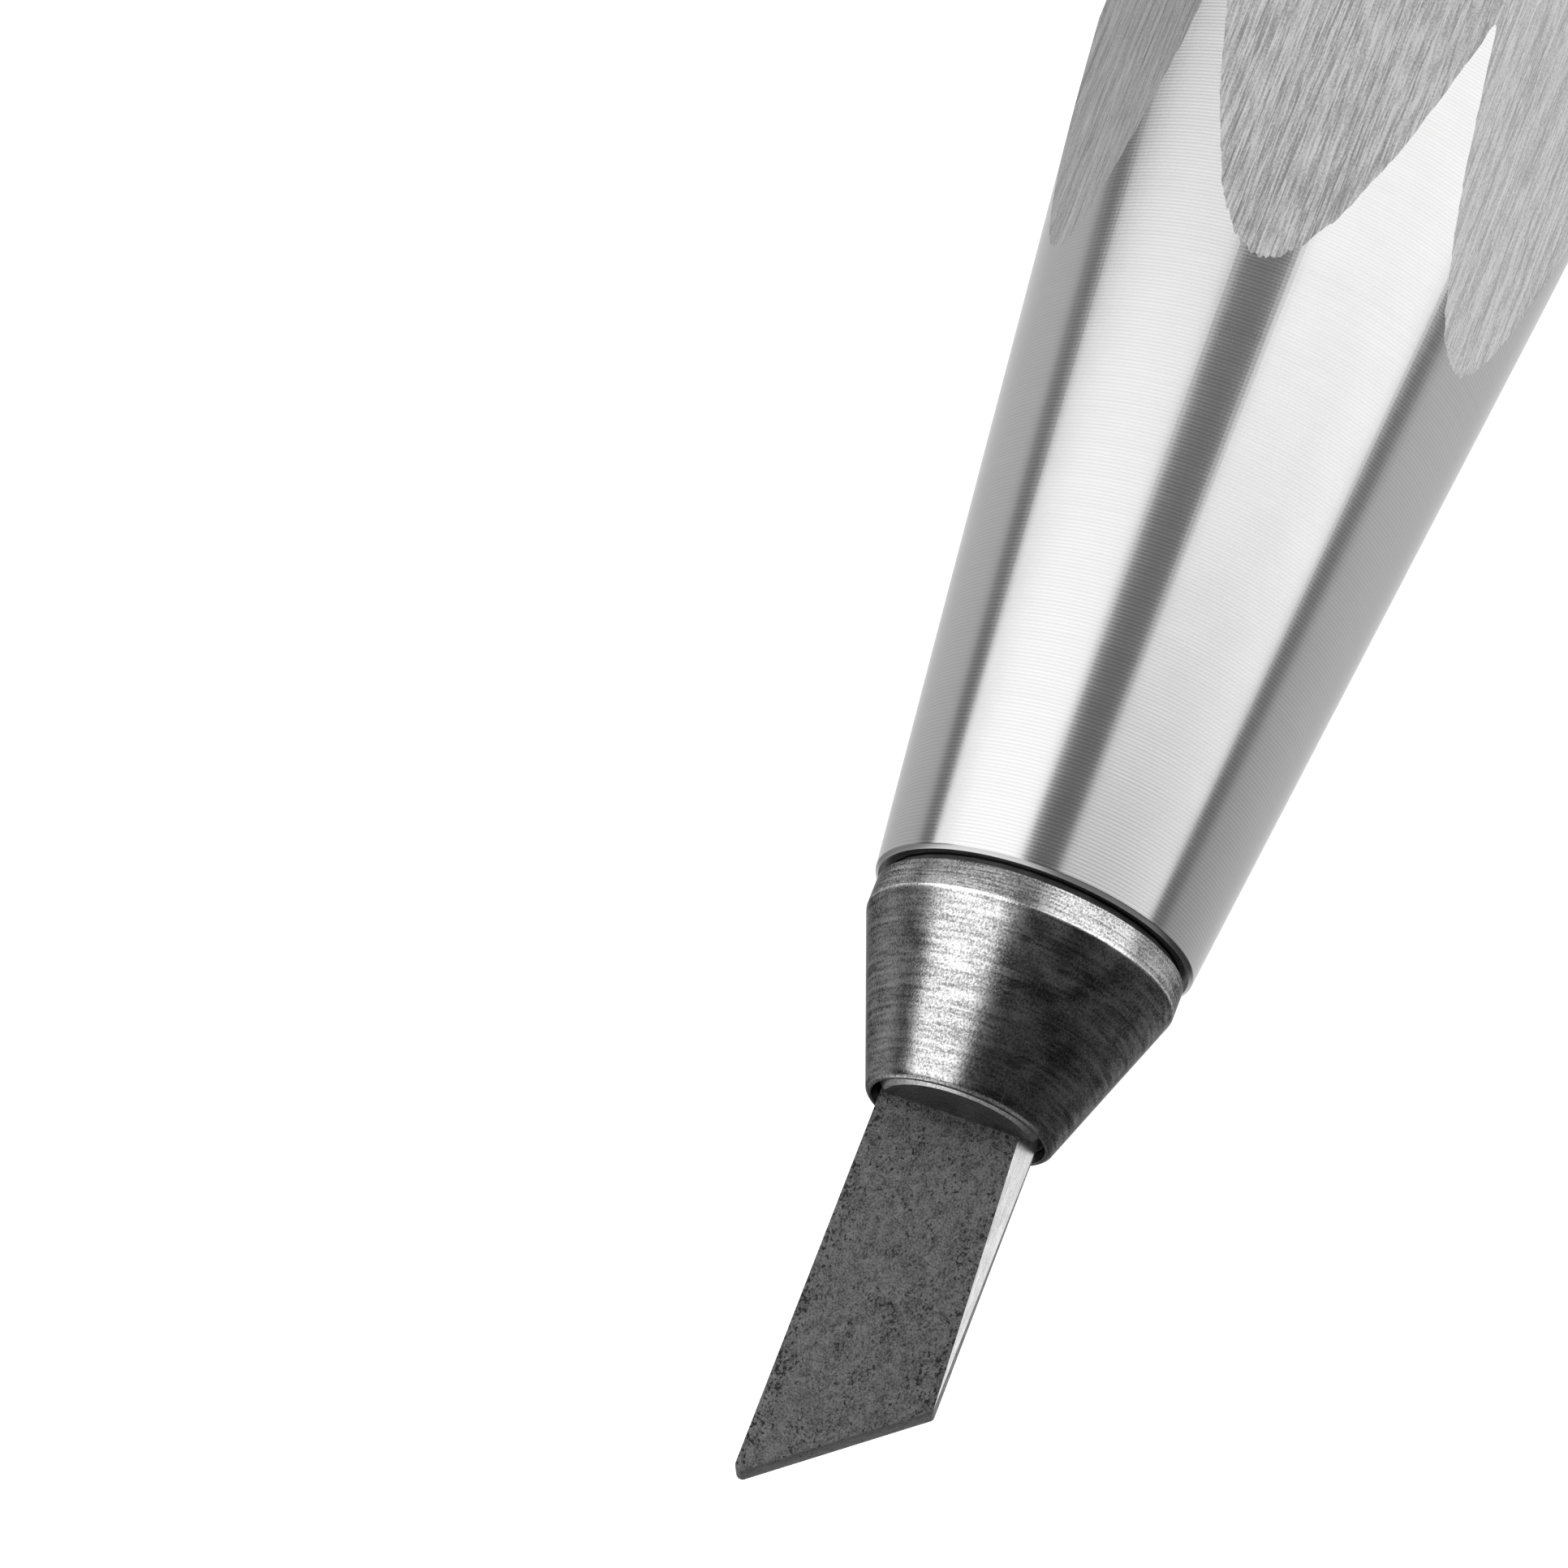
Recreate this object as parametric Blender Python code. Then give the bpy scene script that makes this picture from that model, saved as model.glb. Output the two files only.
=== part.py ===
"""Pen-type deburring tool: a hexagonal handle with a push-button clutch that grips a flat blade.

The tool lies on one flat of its handle. +X runs along the axis towards the blade's tip, +Z is up,
and the origin is at the middle of the tool's length, under its axis.

Every piece is modelled in the tool's own coordinates: x is the station along the axis, with 0 at
the handle's front face, and the axis is at y = z = 0. The handle_frame empty then lays the tool
down. Pushing the button moves the clutch forwards: the jaws leave their taper in the nose and open.
"""

from math import cos, hypot, pi, radians, sin, sqrt, tan

import bmesh
import bpy
from mathutils import Matrix, Vector

MM = 0.001

# ---- Driving dimensions ----------------------------------------------------------------------

# Fits between neighbouring pieces, per side.
FIT_GAP = 0.05 * MM  # screwed or pressed together
SLIDE_GAP = 0.05 * MM  # one piece slides in the other
FACE_GAP = 0.05 * MM  # end faces that rest on each other
OVERRUN = 1.0 * MM  # how far a cutter reaches beyond the piece that it cuts

# Handle: hexagonal bar, turned to a cone in front and chamfered behind.
HEX_ACROSS_FLATS = 16.0 * MM
HANDLE_LENGTH = 112.0 * MM
HANDLE_FRONT_RADIUS = 5.5 * MM
HANDLE_CONE_ANGLE = radians(6.5)
HANDLE_FRONT_CHAMFER = 0.25 * MM
HANDLE_FRONT_WALL = 1.25 * MM
HANDLE_REAR_INSET = 0.6 * MM
HANDLE_REAR_ANGLE = radians(30)

# Blade: parallel-sided strip with a slanted end and a tapering relief ground along one edge.
BLADE_WIDTH = 5.3 * MM
BLADE_THICKNESS = 1.0 * MM
BLADE_LENGTH = 61.0 * MM
BLADE_REACH = 13.7 * MM  # from the nose's mouth to the tip
BLADE_END_ANGLE = radians(38)
BLADE_CORNER_RADIUS = 0.2 * MM
RELIEF_WIDTH = 0.49 * MM  # on the face, at the mouth
RELIEF_DEPTH = 0.74 * MM  # down the side, at the mouth
RELIEF_INSIDE = 2.5 * MM  # how far the relief runs on behind the mouth

# Nose: a band, a cone, a rounded rim and a taper seat inside its mouth.
NOSE_STEP = 0.18 * MM  # how much smaller the band is than the handle's front
NOSE_GAP = 0.27 * MM  # between the handle's front face and the band
NOSE_BAND_LENGTH = 1.0 * MM
NOSE_CONE_ANGLE = radians(20)
NOSE_RIM_WALL = 0.19 * MM
NOSE_RIM_RADIUS = 0.28 * MM
NOSE_RIM_END = radians(45)  # where the rim's rounding meets the mouth's edge
NOSE_RELIEF = 0.33 * MM  # bore behind the seat, over the seat's small end
SEAT_ANGLE = radians(6)
SEAT_LENGTH = 2.2 * MM
SEAT_BLADE_GAP = 0.068 * MM

# Jaws: two half-round jaws, each on a cross pin near its rear end.
JAW_RECESS = 0.15 * MM
JAW_CHAMFER = 0.12 * MM
JAW_REACH = 21.0 * MM  # from the pivot to the front face
JAW_NECK_RADIUS = 2.25 * MM
JAW_NECK_TAPER = 1.5 * MM
JAW_TAIL_LENGTH = 3.5 * MM
JAW_GRIP_LENGTH = 8.0 * MM
JAW_GRIP_GAP = 0.03 * MM
JAW_RELIEF = 0.15 * MM
PIVOT_OVER_BLADE = 1.1 * MM
PIVOT_RADIUS = 0.5 * MM
RING_THICKNESS = 0.5 * MM
RING_SETBACK = 2.4 * MM
RING_BLADE_GAP = 0.12 * MM

# Clutch: sleeve, draw tube, spring and button.
TRAVEL = 3.0 * MM
TUBE_BLADE_GAP = 0.15 * MM
TUBE_WALL = 0.55 * MM
TUBE_SOCKET = 5.0 * MM
TAIL_ROOM = 1.5 * MM
CARRIER_WALL = 0.75 * MM
CARRIER_OVERHANG = 3.0 * MM
END_ROOM = 0.5 * MM
THREAD_RUNOUT = 1.5 * MM
BUSH_WALL = 0.95 * MM
BUSH_CHAMFER = 0.3 * MM
KEY_RADIUS = 0.6 * MM
KEY_DEPTH = 0.4 * MM
KEY_SETBACK = 6.0 * MM
WASHER_THICKNESS = 0.7 * MM
SPRING_LENGTH = 36.0 * MM
SPRING_WIRE = 0.8 * MM
SPRING_TURNS = 9
SPRING_END_PITCH = 1.15  # of a closed end turn, in wire diameters
SPRING_STEPS_PER_TURN = 16
SPRING_WIRE_SIDES = 6
SPRING_TUBE_GAP = 0.35 * MM
COLLAR_LENGTH = 3.0 * MM
COLLAR_BORE_GAP = 0.25 * MM
COLLAR_CHAMFER = 0.4 * MM
CIRCLIP_THICKNESS = 0.6 * MM
CIRCLIP_GROOVE = 0.25 * MM
CIRCLIP_WIDTH = 1.0 * MM
CIRCLIP_MOUTH = radians(50)
CIRCLIP_STEPS = 20
BUTTON_WALL = 0.95 * MM
BUTTON_SHANK_LENGTH = 14.0 * MM
BUTTON_SOCKET = 12.0 * MM
BUTTON_HEAD_LENGTH = 7.0 * MM
BUTTON_HEAD_STEP = 0.8 * MM
BUTTON_EDGE_RADIUS = 1.2 * MM
BUTTON_GROOVES = 3
BUTTON_GROOVE_DEPTH = 0.25 * MM
BUTTON_GROOVE_WIDTH = 0.5 * MM
BUTTON_GROOVE_PITCH = 1.3 * MM
BUTTON_RING_THICKNESS = 0.5 * MM
BUTTON_RING_SETBACK = 5.5 * MM
LOCK_NUT_LENGTH = 2.5 * MM
LOCK_NUT_WALL = 0.65 * MM  # over the draw tube, at the middle of a flat

# Rear ferrule: screwed into the handle, it carries the button's bush.
FERRULE_THREAD_LENGTH = 12.5 * MM
FERRULE_WALL = 1.0 * MM
FERRULE_FLANGE = 3.0 * MM
FERRULE_EDGE = 0.5 * MM
FERRULE_LIP = 2.0 * MM
FERRULE_LIP_GAP = 0.15 * MM
GASKET_THICKNESS = 0.5 * MM
GASKET_INSET = 0.15 * MM
REAR_BUSH_LENGTH = 7.5 * MM
REAR_BUSH_WALL = 0.75 * MM

# Facets round a full turn: the handle's cone, the nose, and everything inside.
CONE_FACETS = 72
NOSE_FACETS = 64
INNER_FACETS = 32

# ---- Radii that follow from the blade outwards -----------------------------------------------

blade_reach_radius = hypot(BLADE_WIDTH / 2, BLADE_THICKNESS / 2)
seat_small_radius = blade_reach_radius + SEAT_BLADE_GAP
mouth_radius = seat_small_radius + SEAT_LENGTH * tan(SEAT_ANGLE)
nose_bore_radius = seat_small_radius + NOSE_RELIEF
tube_inner_radius = blade_reach_radius + TUBE_BLADE_GAP
tube_radius = tube_inner_radius + TUBE_WALL
carrier_bore_radius = tube_radius + FIT_GAP
carrier_radius = carrier_bore_radius + CARRIER_WALL
bush_bore_radius = carrier_radius + SLIDE_GAP
bush_radius = bush_bore_radius + BUSH_WALL
handle_bore_radius = bush_radius + FIT_GAP
ring_inner_radius = blade_reach_radius + RING_BLADE_GAP
jaw_groove_radius = ring_inner_radius - FIT_GAP
jaw_tail_radius = ring_inner_radius + RING_THICKNESS / 2
pivot_height = BLADE_THICKNESS / 2 + PIVOT_OVER_BLADE
lock_nut_across_flats = 2 * (carrier_bore_radius + LOCK_NUT_WALL)
button_shank_radius = carrier_bore_radius + BUTTON_WALL
button_head_radius = button_shank_radius + BUTTON_HEAD_STEP
rear_bush_bore_radius = button_shank_radius + SLIDE_GAP
rear_bush_radius = rear_bush_bore_radius + REAR_BUSH_WALL
ferrule_bore_radius = rear_bush_radius + FIT_GAP
ferrule_radius = ferrule_bore_radius + FERRULE_WALL
handle_rear_bore_radius = ferrule_radius + FIT_GAP
handle_rear_radius = HEX_ACROSS_FLATS / 2 - HANDLE_REAR_INSET
spigot_radius = HANDLE_FRONT_RADIUS - HANDLE_FRONT_WALL
nose_band_radius = HANDLE_FRONT_RADIUS - NOSE_STEP

# ---- Stations along the axis, from the handle's front face -----------------------------------

band_end = NOSE_GAP + NOSE_BAND_LENGTH
mouth = band_end + (nose_band_radius - mouth_radius - NOSE_RIM_WALL) / tan(NOSE_CONE_ANGLE)
seat_end = mouth - SEAT_LENGTH
jaw_front = mouth - JAW_RECESS
pivot = jaw_front - JAW_REACH
jaw_rear = pivot - JAW_TAIL_LENGTH
carrier_front = pivot + CARRIER_OVERHANG
tube_front = jaw_rear - TAIL_ROOM
carrier_rear = tube_front - TUBE_SOCKET
spigot_rear = carrier_front + TRAVEL + END_ROOM
bore_shoulder = spigot_rear - THREAD_RUNOUT
key_station = carrier_rear + KEY_SETBACK
washer_front = carrier_rear - FACE_GAP
washer_rear = washer_front - WASHER_THICKNESS
spring_front = washer_rear - FACE_GAP
spring_rear = spring_front - SPRING_LENGTH
collar_front = spring_rear - FACE_GAP
collar_rear = collar_front - COLLAR_LENGTH
circlip_front = collar_rear - FACE_GAP
circlip_rear = circlip_front - CIRCLIP_THICKNESS
handle_rear = -HANDLE_LENGTH
gasket_front = handle_rear - FACE_GAP
flange_front = gasket_front - GASKET_THICKNESS - FACE_GAP
flange_rear = flange_front - FERRULE_FLANGE
ferrule_front = handle_rear + FERRULE_THREAD_LENGTH
rear_bush_rear = flange_rear + FERRULE_LIP
rear_bush_front = rear_bush_rear + REAR_BUSH_LENGTH
button_head_front = flange_rear - TRAVEL - FACE_GAP
button_rear = button_head_front - BUTTON_HEAD_LENGTH
button_front = button_head_front + BUTTON_SHANK_LENGTH
tube_rear = button_front - BUTTON_SOCKET + FACE_GAP
blade_tip = mouth + BLADE_REACH
blade_rear = blade_tip - BLADE_LENGTH


# ---- Helpers ---------------------------------------------------------------------------------


def clear_scene():
    for obj in list(bpy.data.objects):
        bpy.data.objects.remove(obj, do_unlink=True)


def material(name, colour, roughness, metallic):
    """A plain Principled BSDF material."""
    made = bpy.data.materials.new(name)
    made.use_nodes = True
    shader = made.node_tree.nodes["Principled BSDF"]
    shader.inputs["Base Color"].default_value = (*colour, 1.0)
    shader.inputs["Roughness"].default_value = roughness
    shader.inputs["Metallic"].default_value = metallic
    made.diffuse_color = (*colour, 1.0)
    return made


def frame_empty(name, place, parent=None):
    """An empty on a joint's axis, which the moving pieces are parented to."""
    empty = bpy.data.objects.new(name, None)
    empty.empty_display_size = 5 * MM
    empty.location = place
    empty.parent = parent
    bpy.context.scene.collection.objects.link(empty)
    return empty


def place(name, bm, parent, look=None, origin=(0, 0, 0)):
    """Turns a bmesh in tool coordinates into an object whose origin is at the given point."""
    bmesh.ops.remove_doubles(bm, verts=bm.verts, dist=1e-7)
    bmesh.ops.recalc_face_normals(bm, faces=bm.faces)
    bmesh.ops.translate(bm, verts=bm.verts, vec=-Vector(origin))
    mesh = bpy.data.meshes.new(name)
    bm.to_mesh(mesh)
    bm.free()
    mesh.shade_smooth()
    mesh.set_sharp_from_angle(angle=radians(30))
    obj = bpy.data.objects.new(name, mesh)
    obj.parent = parent
    obj.location = Vector(origin) - frame_origin[parent.name]
    bpy.context.scene.collection.objects.link(obj)
    if look:
        mesh.materials.append(look)
    return obj


def turned(outline, facets):
    """Spins a closed outline of (station, radius) points round the tool's axis."""
    bm = bmesh.new()
    points = [bm.verts.new((s, 0, r)) for s, r in outline]
    edges = [bm.edges.new((a, b)) for a, b in zip(points, points[1:] + points[:1], strict=True)]
    bmesh.ops.spin(
        bm, geom=points + edges, cent=(0, 0, 0), axis=(1, 0, 0), angle=2 * pi, steps=facets, use_merge=True
    )
    bmesh.ops.remove_doubles(bm, verts=bm.verts, dist=1e-7)
    bmesh.ops.dissolve_degenerate(bm, edges=bm.edges, dist=1e-7)
    return bm


def sleeve(rear, front, inner, outer, facets=INNER_FACETS, chamfer=0.0):
    """A plain ring from one station to another, with its outer edges chamfered."""
    if chamfer:
        shoulder = [(front - chamfer, outer), (rear + chamfer, outer)]
    else:
        shoulder = []
    outline = [(front, inner), (front, outer - chamfer), *shoulder, (rear, outer - chamfer), (rear, inner)]
    return turned(outline, facets)


def prism(points, depth_axis, low, high):
    """Extrudes a flat outline along Y or Z, between two values of that coordinate."""
    bm = bmesh.new()
    along = {"Y": lambda a, b: (a, low, b), "Z": lambda a, b: (a, b, low)}[depth_axis]
    face = bm.faces.new([bm.verts.new(along(a, b)) for a, b in points])
    made = bmesh.ops.extrude_face_region(bm, geom=[face])
    moved = [item for item in made["geom"] if isinstance(item, bmesh.types.BMVert)]
    step = {"Y": (0, high - low, 0), "Z": (0, 0, high - low)}[depth_axis]
    bmesh.ops.translate(bm, verts=moved, vec=step)
    bmesh.ops.recalc_face_normals(bm, faces=bm.faces)
    return bm


def hexagon_bar(rear, front, across_flats):
    """A hexagonal bar along the axis with a flat facing up."""
    bm = bmesh.new()
    corner = across_flats / sqrt(3)
    turns = [i * pi / 3 for i in range(6)]
    face = bm.faces.new([bm.verts.new((rear, corner * cos(t), corner * sin(t))) for t in turns])
    made = bmesh.ops.extrude_face_region(bm, geom=[face])
    moved = [item for item in made["geom"] if isinstance(item, bmesh.types.BMVert)]
    bmesh.ops.translate(bm, verts=moved, vec=(front - rear, 0, 0))
    bmesh.ops.recalc_face_normals(bm, faces=bm.faces)
    return bm


def rod(centre, direction, length, radius, facets=16):
    """A round pin about a centre point, along Y or Z."""
    bm = bmesh.new()
    turn = {"Y": Matrix.Rotation(pi / 2, 4, "X"), "Z": Matrix.Identity(4)}[direction]
    bmesh.ops.create_cone(
        bm, cap_ends=True, segments=facets, radius1=radius, radius2=radius, depth=length,
        matrix=Matrix.Translation(centre) @ turn,
    )
    return bm


def cutter(name, bm, parent):
    obj = place(name, bm, parent)
    obj.hide_render = True
    obj.display_type = "WIRE"
    return obj


def boolean(obj, other, operation="DIFFERENCE"):
    cut = obj.modifiers.new(other.name, "BOOLEAN")
    cut.object = other
    cut.operation = operation
    cut.solver = "EXACT"


def arc(centre, radius, start, end, steps):
    """Points (station, radius) on an arc, from one angle to the other, measured from the axis's direction."""
    return [
        (centre[0] + radius * cos(start + (end - start) * i / steps),
         centre[1] + radius * sin(start + (end - start) * i / steps))
        for i in range(steps + 1)
    ]


def baked(obj):
    """The object's mesh after its modifiers, in its own coordinates."""
    graph = bpy.context.evaluated_depsgraph_get()
    mesh = bpy.data.meshes.new_from_object(obj.evaluated_get(graph))
    mesh.name = obj.name
    return mesh


# ---- Pieces of the handle --------------------------------------------------------------------


def handle_body(parent):
    corner_clear = HEX_ACROSS_FLATS / sqrt(3) + OVERRUN
    cone_length = (corner_clear - HANDLE_FRONT_RADIUS) / tan(HANDLE_CONE_ANGLE)
    rear_rise = (corner_clear - handle_rear_radius) * tan(HANDLE_REAR_ANGLE)
    envelope = [
        (0, 0),
        (0, HANDLE_FRONT_RADIUS - HANDLE_FRONT_CHAMFER),
        (-HANDLE_FRONT_CHAMFER, HANDLE_FRONT_RADIUS + HANDLE_FRONT_CHAMFER * tan(HANDLE_CONE_ANGLE)),
        (-cone_length, corner_clear),
        (handle_rear + rear_rise, corner_clear),
        (handle_rear, handle_rear_radius),
        (handle_rear, 0),
    ]
    bores = [
        (OVERRUN, 0),
        (OVERRUN, spigot_radius + FIT_GAP),
        (bore_shoulder, spigot_radius + FIT_GAP),
        (bore_shoulder, handle_bore_radius),
        (ferrule_front + FACE_GAP, handle_bore_radius),
        (ferrule_front + FACE_GAP, handle_rear_bore_radius),
        (handle_rear - OVERRUN, handle_rear_bore_radius),
        (handle_rear - OVERRUN, 0),
    ]
    bar = place("handle_body", hexagon_bar(handle_rear - OVERRUN, OVERRUN, HEX_ACROSS_FLATS), parent, aluminium)
    boolean(bar, cutter("handle_envelope", turned(envelope, CONE_FACETS), parent), "INTERSECT")
    boolean(bar, cutter("handle_bores", turned(bores, INNER_FACETS), parent))
    bpy.context.view_layer.update()
    bar.data = baked(bar)
    bar.modifiers.clear()
    bar.data.shade_smooth()
    bar.data.set_sharp_from_angle(angle=radians(20))


def nose_cap(parent):
    slope = tan(NOSE_CONE_ANGLE)
    rim_radius = mouth_radius + NOSE_RIM_WALL
    rim_height = rim_radius + NOSE_RIM_RADIUS * slope - NOSE_RIM_RADIUS / cos(NOSE_CONE_ANGLE)
    rim_centre = (mouth - NOSE_RIM_RADIUS, rim_height)
    rim = arc(rim_centre, NOSE_RIM_RADIUS, pi / 2 - NOSE_CONE_ANGLE, NOSE_RIM_END, 2)
    outline = [(band_end, nose_band_radius), *rim, (mouth, mouth_radius)]
    outline += [
        (seat_end, seat_small_radius),
        (seat_end - NOSE_RELIEF, nose_bore_radius),
        (spigot_rear, nose_bore_radius),
        (spigot_rear, spigot_radius),
        (NOSE_GAP, spigot_radius),
        (NOSE_GAP, nose_band_radius),
    ]
    place("nose_cap", turned(outline, NOSE_FACETS), parent, nose_steel)


def nose_seal(parent):
    inset = NOSE_STEP + FIT_GAP
    ring = sleeve(FACE_GAP, NOSE_GAP - FACE_GAP, spigot_radius + FIT_GAP, nose_band_radius - inset)
    place("nose_seal", ring, parent, rubber)


def front_bush(parent):
    front = bore_shoulder - FACE_GAP
    ring = sleeve(carrier_rear, front, bush_bore_radius, bush_radius, chamfer=BUSH_CHAMFER)
    bush = place("front_bush", ring, parent, bronze)
    hole_centre = (key_station, 0, -(bush_bore_radius + bush_radius) / 2)
    boolean(bush, cutter("key_hole", rod(hole_centre, "Z", 3 * BUSH_WALL, KEY_RADIUS + FIT_GAP), parent))


def key_pin(parent):
    """Stands in the front bush and reaches into the carrier's keyway, so that the blade keeps its turn."""
    low = -(bush_radius - FIT_GAP)
    high = -(carrier_radius - KEY_DEPTH + FIT_GAP)
    pin = rod((key_station, 0, (low + high) / 2), "Z", high - low, KEY_RADIUS)
    place("key_pin", pin, parent, tool_steel)


def spring_washer(parent):
    ring = sleeve(washer_rear, washer_front, tube_radius + SLIDE_GAP, bush_radius)
    place("spring_washer", ring, parent, bright_steel)


def return_spring(parent):
    """A compression spring round the draw tube, with closed ends."""
    wire_radius = SPRING_WIRE / 2
    coil_radius = tube_radius + SPRING_TUBE_GAP + wire_radius
    steps = SPRING_TURNS * SPRING_STEPS_PER_TURN
    reach = SPRING_LENGTH - SPRING_WIRE
    bm = bmesh.new()
    rings = []
    for i in range(steps + 1):
        turn = 2 * pi * i / SPRING_STEPS_PER_TURN
        share = closed_end_share(i / steps)
        s = spring_front - wire_radius - reach * share
        out = Vector((0, cos(turn), sin(turn)))
        middle = Vector((s, 0, 0)) + coil_radius * out
        around = [2 * pi * k / SPRING_WIRE_SIDES for k in range(SPRING_WIRE_SIDES)]
        sides = [cos(a) * out + Vector((sin(a), 0, 0)) for a in around]
        rings.append([bm.verts.new(middle + wire_radius * side) for side in sides])
    for a, b in zip(rings, rings[1:], strict=False):
        for k in range(SPRING_WIRE_SIDES):
            following = (k + 1) % SPRING_WIRE_SIDES
            bm.faces.new((a[k], a[following], b[following], b[k]))
    bm.faces.new(rings[0])
    bm.faces.new(rings[-1])
    place("return_spring", bm, parent, spring_steel)


def closed_end_share(t):
    """How far along the spring a turn lies: the first and last turns lie close to the next one."""
    end = 1 / SPRING_TURNS
    end_share = SPRING_WIRE * SPRING_END_PITCH / (SPRING_LENGTH - SPRING_WIRE)
    if t < end:
        return end_share * t / end
    if t > 1 - end:
        return 1 - end_share * (1 - t) / end
    return end_share + (1 - 2 * end_share) * (t - end) / (1 - 2 * end)


def rear_ferrule(parent):
    flange_radius = handle_rear_radius - GASKET_INSET
    outline = [
        (ferrule_front, ferrule_bore_radius),
        (ferrule_front, ferrule_radius),
        (flange_front, ferrule_radius),
        (flange_front, flange_radius),
        (flange_rear + FERRULE_EDGE, flange_radius),
        (flange_rear, flange_radius - FERRULE_EDGE),
        (flange_rear, button_shank_radius + FERRULE_LIP_GAP),
        (rear_bush_rear - FACE_GAP, button_shank_radius + FERRULE_LIP_GAP),
        (rear_bush_rear - FACE_GAP, ferrule_bore_radius),
    ]
    place("rear_ferrule", turned(outline, NOSE_FACETS), parent, bright_steel)


def ferrule_gasket(parent):
    inner = handle_rear_bore_radius + FIT_GAP
    outer = handle_rear_radius - 2 * GASKET_INSET
    place("ferrule_gasket", sleeve(gasket_front - GASKET_THICKNESS, gasket_front, inner, outer), parent, rubber)


def rear_bush(parent):
    ring = sleeve(rear_bush_rear, rear_bush_front, rear_bush_bore_radius, rear_bush_radius)
    place("rear_bush", ring, parent, bronze)


# ---- Pieces of the clutch --------------------------------------------------------------------


def jaw_carrier(parent):
    ring = sleeve(
        carrier_rear + FACE_GAP, carrier_front, carrier_bore_radius, carrier_radius, chamfer=BUSH_CHAMFER
    )
    body = place("jaw_carrier", ring, parent, tool_steel)
    for side, height in (("upper", pivot_height), ("lower", -pivot_height)):
        hole = rod((pivot, 0, height), "Y", 3 * carrier_radius, PIVOT_RADIUS + FIT_GAP)
        boolean(body, cutter(f"{side}_pin_hole", hole, parent))
    width = KEY_RADIUS + FIT_GAP
    keyway = prism(
        [
            (key_station + width, -width),
            (key_station + width, width),
            (key_station - TRAVEL - width, width),
            (key_station - TRAVEL - width, -width),
        ],
        "Z", -carrier_radius - OVERRUN, -carrier_radius + KEY_DEPTH,
    )
    boolean(body, cutter("keyway", keyway, parent))


def pivot_pins(parent):
    half = sqrt(carrier_radius**2 - (pivot_height + PIVOT_RADIUS) ** 2) - FIT_GAP
    for side, height in (("upper", pivot_height), ("lower", -pivot_height)):
        place(f"{side}_pivot_pin", rod((pivot, 0, height), "Y", 2 * half, PIVOT_RADIUS), parent, bright_steel)


def jaw_ring(parent):
    """A rubber ring round both jaws' tails, behind their pins: it draws the tails in and opens the jaws."""
    minor = RING_THICKNESS / 2
    outline = arc((pivot - RING_SETBACK, ring_inner_radius + minor), minor, 0, 2 * pi, 8)[:-1]
    place("jaw_ring", turned(outline, INNER_FACETS), parent, rubber)


def draw_tube(parent):
    groove = tube_radius - CIRCLIP_GROOVE
    outline = [
        (tube_front, tube_inner_radius),
        (tube_front, tube_radius),
        (circlip_front + FACE_GAP, tube_radius),
        (circlip_front + FACE_GAP, groove),
        (circlip_rear - FACE_GAP, groove),
        (circlip_rear - FACE_GAP, tube_radius),
        (tube_rear, tube_radius),
        (tube_rear, tube_inner_radius),
    ]
    place("draw_tube", turned(outline, INNER_FACETS), parent, tool_steel)


def spring_collar(parent):
    outer = handle_bore_radius - COLLAR_BORE_GAP
    ring = sleeve(collar_rear, collar_front, tube_radius + FIT_GAP, outer, chamfer=COLLAR_CHAMFER)
    place("spring_collar", ring, parent, bronze)


def collar_circlip(parent):
    inner = tube_radius - CIRCLIP_GROOVE + FIT_GAP
    outer = inner + CIRCLIP_WIDTH
    bm = bmesh.new()
    start = pi / 2 + CIRCLIP_MOUTH / 2
    turns = [start + (2 * pi - CIRCLIP_MOUTH) * i / CIRCLIP_STEPS for i in range(CIRCLIP_STEPS + 1)]
    outline = [(outer * cos(t), outer * sin(t)) for t in turns]
    outline += [(inner * cos(t), inner * sin(t)) for t in reversed(turns)]
    face = bm.faces.new([bm.verts.new((circlip_rear, y, z)) for y, z in outline])
    made = bmesh.ops.extrude_face_region(bm, geom=[face])
    moved = [item for item in made["geom"] if isinstance(item, bmesh.types.BMVert)]
    bmesh.ops.translate(bm, verts=moved, vec=(CIRCLIP_THICKNESS, 0, 0))
    place("collar_circlip", bm, parent, spring_steel)


def lock_nut(parent):
    rear = button_front + FACE_GAP
    nut = place(
        "lock_nut", hexagon_bar(rear, rear + LOCK_NUT_LENGTH, lock_nut_across_flats), parent, bright_steel
    )
    bore = sleeve_core(rear - OVERRUN, rear + LOCK_NUT_LENGTH + OVERRUN, tube_radius + FIT_GAP)
    boolean(nut, cutter("lock_nut_bore", bore, parent))


def sleeve_core(rear, front, radius):
    """A solid round bar along the axis."""
    return turned([(front, 0), (front, radius), (rear, radius), (rear, 0)], INNER_FACETS)


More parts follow.
